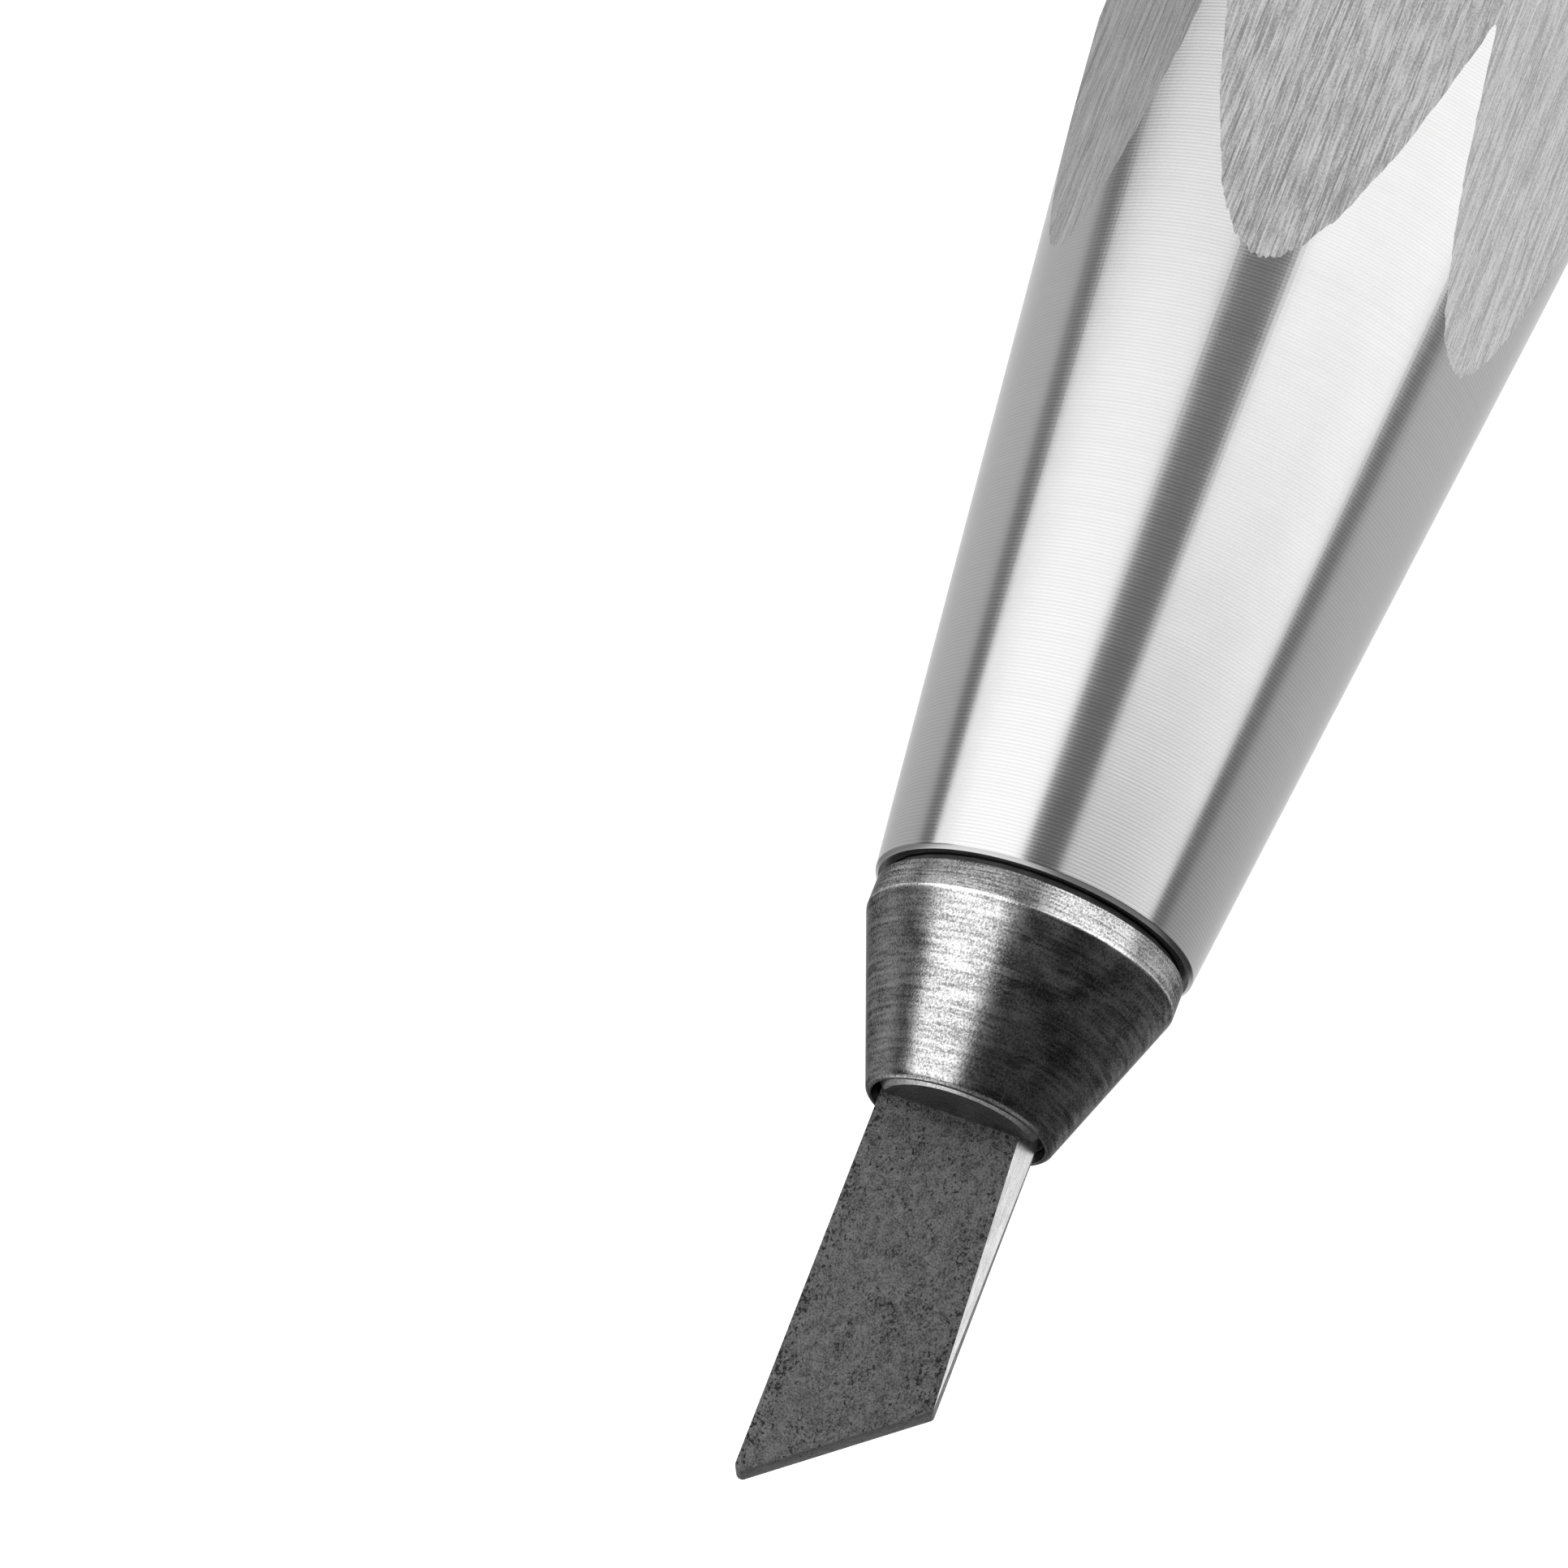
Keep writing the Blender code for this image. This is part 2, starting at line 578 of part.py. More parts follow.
def push_button(parent):
    ring_station = button_front - BUTTON_RING_SETBACK
    ring_half = BUTTON_RING_THICKNESS / 2 + FACE_GAP
    ring_floor = button_shank_radius - BUTTON_RING_THICKNESS
    outline = [
        (button_front, carrier_bore_radius),
        (button_front, button_shank_radius),
        (ring_station + ring_half, button_shank_radius),
        (ring_station + ring_half, ring_floor),
        (ring_station - ring_half, ring_floor),
        (ring_station - ring_half, button_shank_radius),
        (button_head_front, button_shank_radius),
        (button_head_front, button_head_radius - FERRULE_EDGE),
        (button_head_front - FERRULE_EDGE, button_head_radius),
    ]
    first = button_head_front - FERRULE_EDGE - BUTTON_GROOVE_PITCH / 2
    for i in range(BUTTON_GROOVES):
        middle = first - i * BUTTON_GROOVE_PITCH
        outline += [
            (middle + BUTTON_GROOVE_WIDTH / 2, button_head_radius),
            (middle, button_head_radius - BUTTON_GROOVE_DEPTH),
            (middle - BUTTON_GROOVE_WIDTH / 2, button_head_radius),
        ]
    edge_centre = (button_rear + BUTTON_EDGE_RADIUS, button_head_radius - BUTTON_EDGE_RADIUS)
    outline += arc(edge_centre, BUTTON_EDGE_RADIUS, pi / 2, pi, 4)
    socket_floor = button_front - BUTTON_SOCKET
    outline += [(button_rear, 0), (socket_floor, 0), (socket_floor, carrier_bore_radius)]
    place("push_button", turned(outline, INNER_FACETS), parent, button_steel)


def button_o_ring(parent):
    minor = (BUTTON_RING_THICKNESS - FIT_GAP) / 2
    centre = (button_front - BUTTON_RING_SETBACK, button_shank_radius - minor)
    outline = arc(centre, minor, 0, 2 * pi, 8)[:-1]
    place("button_o_ring", turned(outline, INNER_FACETS), parent, rubber)


# ---- Jaws and blade --------------------------------------------------------------------------


def jaws(upper_parent, lower_parent):
    """Both jaws are one piece made twice, the lower one turned half a turn about the axis."""
    head_front = mouth_radius - JAW_RECESS * tan(SEAT_ANGLE) - SLIDE_GAP
    head_rear = seat_small_radius - SLIDE_GAP
    tail_front = carrier_front - JAW_NECK_TAPER
    groove = pivot - RING_SETBACK
    groove_half = RING_THICKNESS / 2 + FACE_GAP
    outline = [
        (jaw_front, 0),
        (jaw_front, head_front - JAW_CHAMFER),
        (jaw_front - JAW_CHAMFER, head_front - JAW_CHAMFER * tan(SEAT_ANGLE)),
        (seat_end, head_rear),
        (seat_end - (head_rear - JAW_NECK_RADIUS), JAW_NECK_RADIUS),
        (tail_front + JAW_NECK_TAPER, JAW_NECK_RADIUS),
        (tail_front, jaw_tail_radius),
        (groove + groove_half, jaw_tail_radius),
        (groove + groove_half, jaw_groove_radius),
        (groove - groove_half, jaw_groove_radius),
        (groove - groove_half, jaw_tail_radius),
        (jaw_rear, jaw_tail_radius),
        (jaw_rear, 0),
    ]
    origin = (pivot, 0, pivot_height)
    jaw = place("upper_jaw", turned(outline, NOSE_FACETS), upper_parent, jaw_steel, origin)
    grip = BLADE_THICKNESS / 2 + JAW_GRIP_GAP
    relieved = grip + JAW_RELIEF
    low = -2 * jaw_tail_radius
    slot = [
        (jaw_front + OVERRUN, low),
        (jaw_front + OVERRUN, grip),
        (jaw_front - JAW_GRIP_LENGTH, grip),
        (jaw_front - JAW_GRIP_LENGTH - JAW_RELIEF, relieved),
        (jaw_rear - OVERRUN, relieved),
        (jaw_rear - OVERRUN, low),
    ]
    width = 2 * jaw_tail_radius
    boolean(jaw, cutter("jaw_slot", prism(slot, "Y", -width, width), upper_parent))
    boolean(jaw, cutter("jaw_pivot_hole", rod(origin, "Y", 2 * width, PIVOT_RADIUS + SLIDE_GAP), upper_parent))
    bpy.context.view_layer.update()
    jaw.data = baked(jaw)
    jaw.modifiers.clear()
    other = bpy.data.objects.new("lower_jaw", jaw.data)
    other.parent = lower_parent
    other.rotation_euler = (pi, 0, 0)
    bpy.context.scene.collection.objects.link(other)


def blade(parent):
    half = BLADE_WIDTH / 2
    short = blade_tip - BLADE_WIDTH * tan(BLADE_END_ANGLE)
    corners = [(blade_rear, -half), (blade_tip, -half), (short, half), (blade_rear, half)]
    outline = []
    for i, corner in enumerate(corners):
        if 0 < i < 3:
            outline += rounded_corner(corners[i - 1], corner, corners[i + 1], BLADE_CORNER_RADIUS, 3)
        else:
            outline.append(corner)
    strip = prism(outline, "Z", -BLADE_THICKNESS / 2, BLADE_THICKNESS / 2)
    body = place("blade", strip, parent, blade_steel, (mouth, 0, 0))
    boolean(body, cutter("blade_relief", relief_wedge(short), parent))


def rounded_corner(before, corner, after, radius, steps):
    """Points of the arc that rounds one corner of a flat outline."""
    corner, before, after = Vector(corner), Vector(before), Vector(after)
    to_before = (before - corner).normalized()
    to_after = (after - corner).normalized()
    half_angle = to_before.angle(to_after) / 2
    setback = radius / tan(half_angle)
    centre = corner + (to_before + to_after).normalized() * radius / sin(half_angle)
    start = corner + to_before * setback - centre
    end = corner + to_after * setback - centre
    return [tuple(centre + start.lerp(end, i / steps).normalized() * radius) for i in range(steps + 1)]


def relief_wedge(short):
    """A wedge that grinds the blade's upper edge on its short side, fading out at the end cut."""
    run = short - mouth
    growth = (run + RELIEF_INSIDE) / run
    top, side = BLADE_THICKNESS / 2, BLADE_WIDTH / 2
    bm = bmesh.new()
    tip = bm.verts.new((short, side, top))
    width, depth = RELIEF_WIDTH * growth, RELIEF_DEPTH * growth
    rear = mouth - RELIEF_INSIDE
    inner = bm.verts.new((rear, side - width, top))
    lower = bm.verts.new((rear, side, top - depth))
    corner = bm.verts.new((rear, side, top))
    # The wedge stands proud of the face and of the side, so that the cut is clean.
    for vert, step in ((inner, (0, -width, depth)), (lower, (0, width, -depth))):
        vert.co += Vector(step) * (OVERRUN / hypot(width, depth))
    corner.co += Vector((0, OVERRUN, OVERRUN))
    for a, b, c in ((inner, lower, corner), (tip, inner, lower), (tip, lower, corner), (tip, corner, inner)):
        bm.faces.new((a, b, c))
    return bm


# ---- The tool --------------------------------------------------------------------------------

clear_scene()

aluminium = material("turned_aluminium", (0.80, 0.80, 0.81), 0.30, 1.0)
nose_steel = material("nose_steel", (0.33, 0.33, 0.34), 0.35, 1.0)
jaw_steel = material("jaw_steel", (0.42, 0.42, 0.43), 0.35, 1.0)
blade_steel = material("blade_steel", (0.12, 0.12, 0.12), 0.55, 0.6)
tool_steel = material("tool_steel", (0.50, 0.50, 0.52), 0.35, 1.0)
bright_steel = material("bright_steel", (0.66, 0.66, 0.67), 0.25, 1.0)
button_steel = material("button_steel", (0.60, 0.60, 0.61), 0.28, 1.0)
spring_steel = material("spring_steel", (0.40, 0.40, 0.42), 0.30, 1.0)
bronze = material("bronze", (0.62, 0.43, 0.22), 0.40, 1.0)
rubber = material("rubber", (0.02, 0.02, 0.02), 0.70, 0.0)

frame_origin = {
    "handle_frame": Vector((0, 0, 0)),
    "clutch_slide": Vector((carrier_front, 0, 0)),
    "upper_jaw_hinge": Vector((pivot, 0, pivot_height)),
    "lower_jaw_hinge": Vector((pivot, 0, -pivot_height)),
    "blade_slide": Vector((mouth, 0, 0)),
}
lay_down = Vector((-(blade_tip + button_rear) / 2, 0, HEX_ACROSS_FLATS / 2))
handle = frame_empty("handle_frame", lay_down)
clutch = frame_empty("clutch_slide", frame_origin["clutch_slide"], handle)
moving = {
    name: frame_empty(name, frame_origin[name] - frame_origin["clutch_slide"], clutch)
    for name in ("upper_jaw_hinge", "lower_jaw_hinge", "blade_slide")
}
bpy.context.view_layer.update()

for make in (
    handle_body, nose_cap, nose_seal, front_bush, key_pin, spring_washer, return_spring,
    rear_ferrule, ferrule_gasket, rear_bush,
):
    make(handle)
for make in (
    jaw_carrier, pivot_pins, jaw_ring, draw_tube, spring_collar, collar_circlip, lock_nut,
    push_button, button_o_ring,
):
    make(clutch)
jaws(moving["upper_jaw_hinge"], moving["lower_jaw_hinge"])
blade(moving["blade_slide"])
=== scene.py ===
"""Looks of the pen-type deburring tool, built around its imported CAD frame.

Every piece is made in place, in metres, in the frame's own coordinates: the tool's axis runs along
+X towards the blade, at the height axis_height. Places come from the boxes of the CAD nodes.
"""

from math import atan2, cos, hypot, pi, radians, sin, tan
from random import Random

import bmesh
import bpy
from mathutils import Matrix, Vector


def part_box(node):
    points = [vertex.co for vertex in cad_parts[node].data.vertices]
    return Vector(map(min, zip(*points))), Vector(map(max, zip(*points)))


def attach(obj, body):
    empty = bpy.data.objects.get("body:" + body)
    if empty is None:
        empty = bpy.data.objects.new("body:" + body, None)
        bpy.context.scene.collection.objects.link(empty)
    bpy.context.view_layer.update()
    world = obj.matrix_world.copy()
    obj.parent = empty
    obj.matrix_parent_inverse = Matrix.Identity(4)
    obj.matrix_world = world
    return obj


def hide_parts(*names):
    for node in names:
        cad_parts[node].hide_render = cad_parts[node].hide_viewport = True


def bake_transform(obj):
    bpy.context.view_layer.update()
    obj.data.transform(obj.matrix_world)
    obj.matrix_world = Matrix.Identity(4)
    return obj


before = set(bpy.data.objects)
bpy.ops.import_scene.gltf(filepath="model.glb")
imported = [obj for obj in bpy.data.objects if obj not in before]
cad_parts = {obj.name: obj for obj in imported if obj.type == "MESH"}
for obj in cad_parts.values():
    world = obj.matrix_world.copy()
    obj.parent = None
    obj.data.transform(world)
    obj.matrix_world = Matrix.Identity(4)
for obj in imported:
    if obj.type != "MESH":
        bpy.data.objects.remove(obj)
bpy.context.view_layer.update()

MM = 0.001

# ---- Driving dimensions that the boxes don't give ----------------------------------------------

FIT_GAP = 0.05 * MM  # between pieces that are screwed or pressed together
FACE_GAP = 0.05 * MM  # between end faces that rest on each other
SLIDE_GAP = 0.05 * MM  # between pieces that slide or swing
OVERRUN = 1 * MM  # how far a cutting shape reaches past what it cuts
MERGE_DISTANCE = 1e-8  # joins the points that a spun outline has on the axis

FINE_EDGE = 0.02 * MM  # roundings that several edges share
CRISP_EDGE = 0.05 * MM
BROKEN_EDGE = 0.1 * MM
EASED_EDGE = 0.2 * MM
SOFT_EDGE = 0.3 * MM

CONE_ANGLE = radians(6.5)
FRONT_CHAMFER = 0.12 * MM
FRONT_LIP_ROUNDING = 0.04 * MM
REAR_ANGLE = radians(30)
REAR_INSET = 0.6 * MM  # from flat_radius down to the rear face's radius
CORNER_ROUNDING = 0.25 * MM  # along the bar's six corners
CORNER_MARGIN = 1 * MM  # how far the turned envelope reaches past those corners
FLAT_LEAN = 0.02  # a flat's normal leans less than this along the axis
FLAT_REACH_SHARE = 0.8  # a flat's plane lies further from the axis than this share of flat_radius
STREAKS_PER_FLAT = 104
STREAK_DEPTH = 0.022 * MM
WAVE_DEPTH = 0.008 * MM
STREAKS_PER_WAVE = 4
STREAK_SHADING = 0.15  # how much of the streaks' slopes the shading shows

NOSE_STEP = 0.18 * MM  # from the cone's front radius down to the nose's
NOSE_GAP = 0.27 * MM  # between the handle's front face and the nose
NOSE_BAND = 1.0 * MM  # the length of its cylindrical band
NOSE_REAR_ROUNDING = 0.07 * MM
NOSE_RIM_WALL = 0.19 * MM
NOSE_RIM_ROUNDING = 0.23 * MM
NOSE_SPIGOT_RADIUS = 4.25 * MM
NOSE_RELIEF = 0.33 * MM  # how much wider its bore is behind the seat
SEAT_ANGLE = radians(6)
SEAT_LENGTH = 2.2 * MM
SEAT_BLADE_GAP = 0.068 * MM  # from the blade's corners to the seat's narrow end
THREAD_RUNOUT = 1.5 * MM

JAW_RECESS = 0.02 * MM  # from the mouth to the jaw's face
JAW_CHAMFER = 0.35 * MM
JAW_HEAD_ROUNDING = 0.03 * MM
JAW_TAIL_ROUNDING = 0.15 * MM
JAW_REACH = 21.0 * MM  # from the front of the jaw's CAD box to its pivot
JAW_NECK_RADIUS = 2.25 * MM
JAW_NECK_TAPER = 1.5 * MM
JAW_GROOVE_DEPTH = 0.3 * MM
JAW_GRIP_LENGTH = 8.0 * MM
JAW_GRIP_GAP = 0.03 * MM
JAW_RELIEF = 0.15 * MM  # how much deeper the slot is behind the grip
CARRIER_OVERHANG = 3.0 * MM  # from the pivot to where the jaw's neck begins
PIVOT_RADIUS = 0.5 * MM
PIVOT_OFFSET = 1.1 * MM  # from the blade's face to the pivot's axis

BLADE_REACH = 13.7 * MM  # from the mouth to the tip
BLADE_END_ANGLE = radians(38)
BLADE_CORNER_RADIUS = 0.2 * MM
BLADE_EDGE_RADIUS = 0.035 * MM
RELIEF_WIDTH = 0.55 * MM
RELIEF_DEPTH = 0.74 * MM
RELIEF_INSIDE = 2.5 * MM  # how far the relief runs on behind the mouth
RELIEF_FACING = 0.97  # how well a face of the relief agrees with its slant

SPRING_WIRE = 0.8 * MM
SPRING_TURNS = 9
END_TURN_PITCH = 1.15  # of the closed first and last turns, in wire diameters

EDGE_CHAMFER = 0.5 * MM  # on the ferrule's flange and the button's head
FERRULE_THREAD_LENGTH = 12.5 * MM
FERRULE_WALL = 1.0 * MM
FERRULE_LIP_GAP = 0.15 * MM  # round the button's shank
FERRULE_LIP_ROUNDING = 0.15 * MM
FLANGE_ROUNDING = 0.12 * MM
BUTTON_SOCKET = 12.0 * MM  # the depth of its bore for the draw tube
BUTTON_SHANK_LENGTH = 14.0 * MM
BUTTON_HEAD_STEP = 0.8 * MM
BUTTON_EDGE_RADIUS = 1.2 * MM
BUTTON_GROOVES = 3
BUTTON_GROOVE_DEPTH = 0.25 * MM
BUTTON_GROOVE_WIDTH = 0.5 * MM
BUTTON_GROOVE_PITCH = 1.3 * MM
GROOVE_EDGE_ROUNDING = 0.06 * MM
GROOVE_FLOOR_ROUNDING = 0.08 * MM
BUTTON_RING_THICKNESS = 0.5 * MM

TURNED_FACETS = 288
BUTTON_FACETS = 192
SMALL_FACETS = 128
HOLE_FACETS = 48
RING_FACETS = 20  # round a rubber ring's section
SPRING_STEPS = 48  # in each turn of the spring
WIRE_FACETS = 16

FEED_PITCH = 0.105 * MM  # of the turning marks
FEED_DEPTH = 0.0011 * MM
RING_SHARE = 1.37  # how much the distance from the axis adds to the marks' place along it

FLOOR_REACH = 8.0
FLOOR_CELLS = 8
LIGHT_DISTANCE = 0.55
LENS = 164.59  # in the camera's own millimetres, like SENSOR
SENSOR = 36.0
NEAREST = 0.01  # where the camera's view starts
AXIS_LEAN = radians(21.923)  # to the left of straight down in the view
AXIS_PITCH = radians(20.282)  # of the blade's end towards the camera
TOOL_ROLL = radians(-9.785)  # about the axis
SEAM_IN_VIEW = Vector((8.1087, 4.7253, 234.008)) * MM  # right, down and forward of the camera

# ---- Places read from the frame ----------------------------------------------------------------


def half_height(node):
    low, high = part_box(node)
    return (high.z - low.z) / 2


handle_low, handle_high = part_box("handle_body")
seam = handle_high.x  # the handle's front face
handle_rear = handle_low.x
axis_height = (handle_low.z + handle_high.z) / 2
flat_radius = (handle_high.z - handle_low.z) / 2
corner_radius = flat_radius / cos(pi / 6)
corner_clear = corner_radius + CORNER_MARGIN
handle_rear_radius = flat_radius - REAR_INSET
handle_bore_radius = half_height("front_bush") + FIT_GAP
ferrule_bore_radius = half_height("rear_bush") + FIT_GAP
ferrule_thread_radius = ferrule_bore_radius + FERRULE_WALL

nose_low, nose_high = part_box("nose_cap")
mouth = nose_high.x
spigot_rear = nose_low.x
band_rear = seam + NOSE_GAP
band_front = band_rear + NOSE_BAND
band_radius = half_height("nose_cap")
front_radius = band_radius + NOSE_STEP

blade_low, blade_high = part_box("blade")
blade_half_width = blade_high.y
blade_half_thickness = half_height("blade")
blade_corner_distance = hypot(blade_half_width, blade_half_thickness)
seat_small_radius = blade_corner_distance + SEAT_BLADE_GAP
mouth_radius = seat_small_radius + SEAT_LENGTH * tan(SEAT_ANGLE)
seat_end = mouth - SEAT_LENGTH

jaw_low, jaw_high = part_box("upper_jaw")
jaw_tail_radius = min(jaw_high.z - axis_height, -jaw_low.y, jaw_high.y)

button_low, button_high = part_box("push_button")
head_radius = half_height("push_button")
shank_radius = head_radius - BUTTON_HEAD_STEP
button_bore_radius = half_height("draw_tube") + FIT_GAP


# ---- Mesh helpers ------------------------------------------------------------------------------


def softened(corners, steps=4):
    """Rounds the corners of a closed outline. Each corner is (first, second, rounding)."""
    points = []
    for i, (first, second, rounding) in enumerate(corners):
        here = Vector((first, second))
        if not rounding:
            points.append(here)
            continue
        before = (Vector(corners[i - 1][:2]) - here).normalized()
        after = (Vector(corners[(i + 1) % len(corners)][:2]) - here).normalized()
        half_angle = before.angle(after) / 2
        setback = rounding / tan(half_angle)
        centre = here + (before + after).normalized() * rounding / sin(half_angle)
        start = here + before * setback - centre
        end = here + after * setback - centre
        points += [centre + start.lerp(end, k / steps).normalized() * rounding for k in range(steps + 1)]
    return points


def spun(outline, facets=TURNED_FACETS):
    """Spins a closed outline of (x, radius) points round the tool's axis."""
    bm = bmesh.new()
    turns = [2 * pi * i / facets for i in range(facets)]
    rings = [[bm.verts.new((x, r * sin(t), axis_height + r * cos(t))) for x, r in outline] for t in turns]
    for a, b in zip(rings, rings[1:] + rings[:1], strict=True):
        for j in range(len(outline)):
            k = (j + 1) % len(outline)
            bm.faces.new((a[j], a[k], b[k], b[j]))
    bmesh.ops.remove_doubles(bm, verts=bm.verts, dist=MERGE_DISTANCE)
    bmesh.ops.recalc_face_normals(bm, faces=bm.faces)
    return bm


def extruded(outline, move):
    """Extrudes a flat outline of 3-D points by one step."""
    bm = bmesh.new()
    face = bm.faces.new([bm.verts.new(point) for point in outline])
    made = bmesh.ops.extrude_face_region(bm, geom=[face])
    bmesh.ops.translate(bm, verts=[v for v in made["geom"] if isinstance(v, bmesh.types.BMVert)], vec=move)
    bmesh.ops.recalc_face_normals(bm, faces=bm.faces)
    return bm


def solid(name, bm):
    mesh = bpy.data.meshes.new(name)
    bm.to_mesh(mesh)
    bm.free()
    obj = bpy.data.objects.new(name, mesh)
    bpy.context.scene.collection.objects.link(obj)
    return obj


def combine(obj, bm, operation="DIFFERENCE"):
    """Cuts obj with a mesh, or keeps what both share, and leaves nothing else in the scene."""
    other = solid("helper", bm)
    step = obj.modifiers.new("step", "BOOLEAN")
    step.object = other
    step.operation = operation
    step.solver = "EXACT"
    apply_modifiers(obj)
    bpy.data.objects.remove(other)


def apply_modifiers(obj):
    bpy.context.view_layer.update()
    graph = bpy.context.evaluated_depsgraph_get()
    mesh = bpy.data.meshes.new_from_object(obj.evaluated_get(graph))
    obj.modifiers.clear()
    obj.data = mesh
    mesh.name = obj.name


def smooth(obj, angle=30):
    obj.data.shade_smooth()
    obj.data.set_sharp_from_angle(angle=radians(angle))


def settle(obj, looks, body, node):
    """Gives a finished piece its materials and its body, and hides the CAD node that it stands for.

    The first material covers the piece, apart from the faces that were given another by number. The
    spring has no body here.
    """
    for look in looks:
        obj.data.materials.append(look)
    if body:
        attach(obj, body)
    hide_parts(node)


# ---- Shader helpers ----------------------------------------------------------------------------


def add_node(tree, kind, inputs=None, **settings):
    made = tree.nodes.new("ShaderNode" + kind)
    for key, value in settings.items():
        setattr(made, key, value)
    for socket, value in (inputs or {}).items():
        if isinstance(value, bpy.types.NodeSocket):
            tree.links.new(value, made.inputs[socket])
        else:
            made.inputs[socket].default_value = value
    return made


def calculate(tree, operation, *values):
    return add_node(tree, "Math", dict(enumerate(values)), operation=operation).outputs[0]


def weighted(tree, *parts):
    """The sum of some values, each of which comes with its weight."""
    total = 0.0
    for value, weight in parts:
        total = calculate(tree, "MULTIPLY_ADD", value, weight, total)
    return total


def remap(tree, value, low, high, to_low=0.0, to_high=1.0):
    """A smooth step: to_low where the value is low, to_high where it is high."""
    inputs = {"Value": value, "From Min": low, "From Max": high, "To Min": to_low, "To Max": to_high}
    return add_node(tree, "MapRange", inputs, interpolation_type="SMOOTHSTEP").outputs["Result"]


def spread(tree, value, to_low=0.0, to_high=1.0):
    """Stretches a noise over a range: most of a noise lies between 0.3 and 0.7."""
    return remap(tree, value, 0.3, 0.7, to_low, to_high)


def mix(tree, share, first, second):
    """Goes from the first number to the second as the share goes from 0 to 1."""
    return add_node(tree, "Mix", {"Factor": share, "A": first, "B": second}).outputs["Result"]


def tool_space(tree):
    """Where a surface point lies: x along the axis, y, height over the axis, and distance from it."""
    place = add_node(tree, "TexCoord").outputs["Object"]
    split = add_node(tree, "SeparateXYZ", {0: place})
    height = calculate(tree, "SUBTRACT", split.outputs["Z"], axis_height)
    across = add_node(tree, "CombineXYZ", {"Y": split.outputs["Y"], "Z": height}).outputs[0]
    radius = add_node(tree, "VectorMath", {0: across}, operation="LENGTH").outputs["Value"]
    return split.outputs["X"], split.outputs["Y"], height, radius


def noise(tree, place, sizes, detail):
    """Noise whose features have the given sizes along the three directions of the place."""
    scaled = [calculate(tree, "DIVIDE", part, size) for part, size in zip(place, sizes, strict=True)]
    vector = add_node(tree, "CombineXYZ", dict(enumerate(scaled))).outputs[0]
    return add_node(tree, "TexNoise", {"Vector": vector, "Scale": 1.0, "Detail": detail}).outputs[0]


def streaks(tree, length, width, detail=2.0):
    """Noise with features of one length along the axis and one width across it."""
    x, y, z, _ = tool_space(tree)
    return noise(tree, (x, y, z), (length, width, width), detail)


def grain(tree, size, detail=3.0):
    """Noise with features of one size in all directions."""
    return streaks(tree, size, size, detail)


def turning_lines(tree, pitch, run):
    """Uneven lines round the axis, on the sides and on the end faces, each about as long as the run."""
    x, y, z, radius = tool_space(tree)
    ring = weighted(tree, (radius, RING_SHARE), (x, 1.0))
    return noise(tree, (ring, y, z), (pitch, run, run), detail=2.0)


def feed_lines(tree):
    """The regular lines that the turning tool's feed leaves, from 0 to 1."""
    x, _, _, radius = tool_space(tree)
    ring = weighted(tree, (radius, RING_SHARE), (x, 1.0))
    turn = calculate(tree, "SINE", calculate(tree, "MULTIPLY", ring, 2 * pi / FEED_PITCH))
    return calculate(tree, "MULTIPLY_ADD", turn, 0.5, 0.5)


def grey(value):
    return (value, value, value, 1.0)


def shaded(tree, tone, dark, light, limited=True):
    """A colour that goes from dark to light with the tone, and past light if it isn't limited."""
    mixed = add_node(tree, "Mix", {"Factor": tone}, data_type="RGBA", clamp_factor=limited)
    mixed.inputs["A"].default_value = dark
    mixed.inputs["B"].default_value = light
    return mixed.outputs["Result"]


def new_look(name, metallic=1.0, **sockets):
    look = bpy.data.materials.new(name)
    look.use_nodes = True
    shader = look.node_tree.nodes["Principled BSDF"]
    shader.inputs["Metallic"].default_value = metallic
    for socket, value in sockets.items():
        shader.inputs[socket.replace("_", " ")].default_value = value
    return look, look.node_tree, shader


def connect(tree, shader, colour, roughness, height, depth):
    """Links the colour and roughness, and a bump of the given depth in metres."""
    tree.links.new(colour, shader.inputs["Base Color"])
    tree.links.new(roughness, shader.inputs["Roughness"])
    bump = add_node(tree, "Bump", {"Height": height, "Strength": 1.0, "Distance": depth})
    tree.links.new(bump.outputs["Normal"], shader.inputs["Normal"])


# ---- Materials ---------------------------------------------------------------------------------


def turned_metal(name, dark, light, roughness):
    """Metal with fine turning lines, which blur its reflections along the axis more than round it."""
    look, tree, shader = new_look(name, Anisotropic=0.7, Anisotropic_Rotation=0.25, Specular_Tint=grey(0.75))
    tangent = add_node(tree, "Tangent", direction_type="RADIAL", axis="X")
    tree.links.new(tangent.outputs["Tangent"], shader.inputs["Tangent"])
    uneven = turning_lines(tree, pitch=0.6 * FEED_PITCH, run=25 * MM)
    lines = weighted(tree, (feed_lines(tree), 0.5), (uneven, 0.5))
    cloud = grain(tree, size=1.6 * MM)
    tone = weighted(tree, (lines, 1.0), (cloud, 0.15))
    colour = shaded(tree, remap(tree, tone, 0.25, 0.9), dark, light)
    rough = spread(tree, lines, 0.9 * roughness, 1.1 * roughness)
    rough = calculate(tree, "ADD", rough, spread(tree, cloud, -0.01, 0.01))
    connect(tree, shader, colour, rough, lines, depth=FEED_DEPTH)
    return look


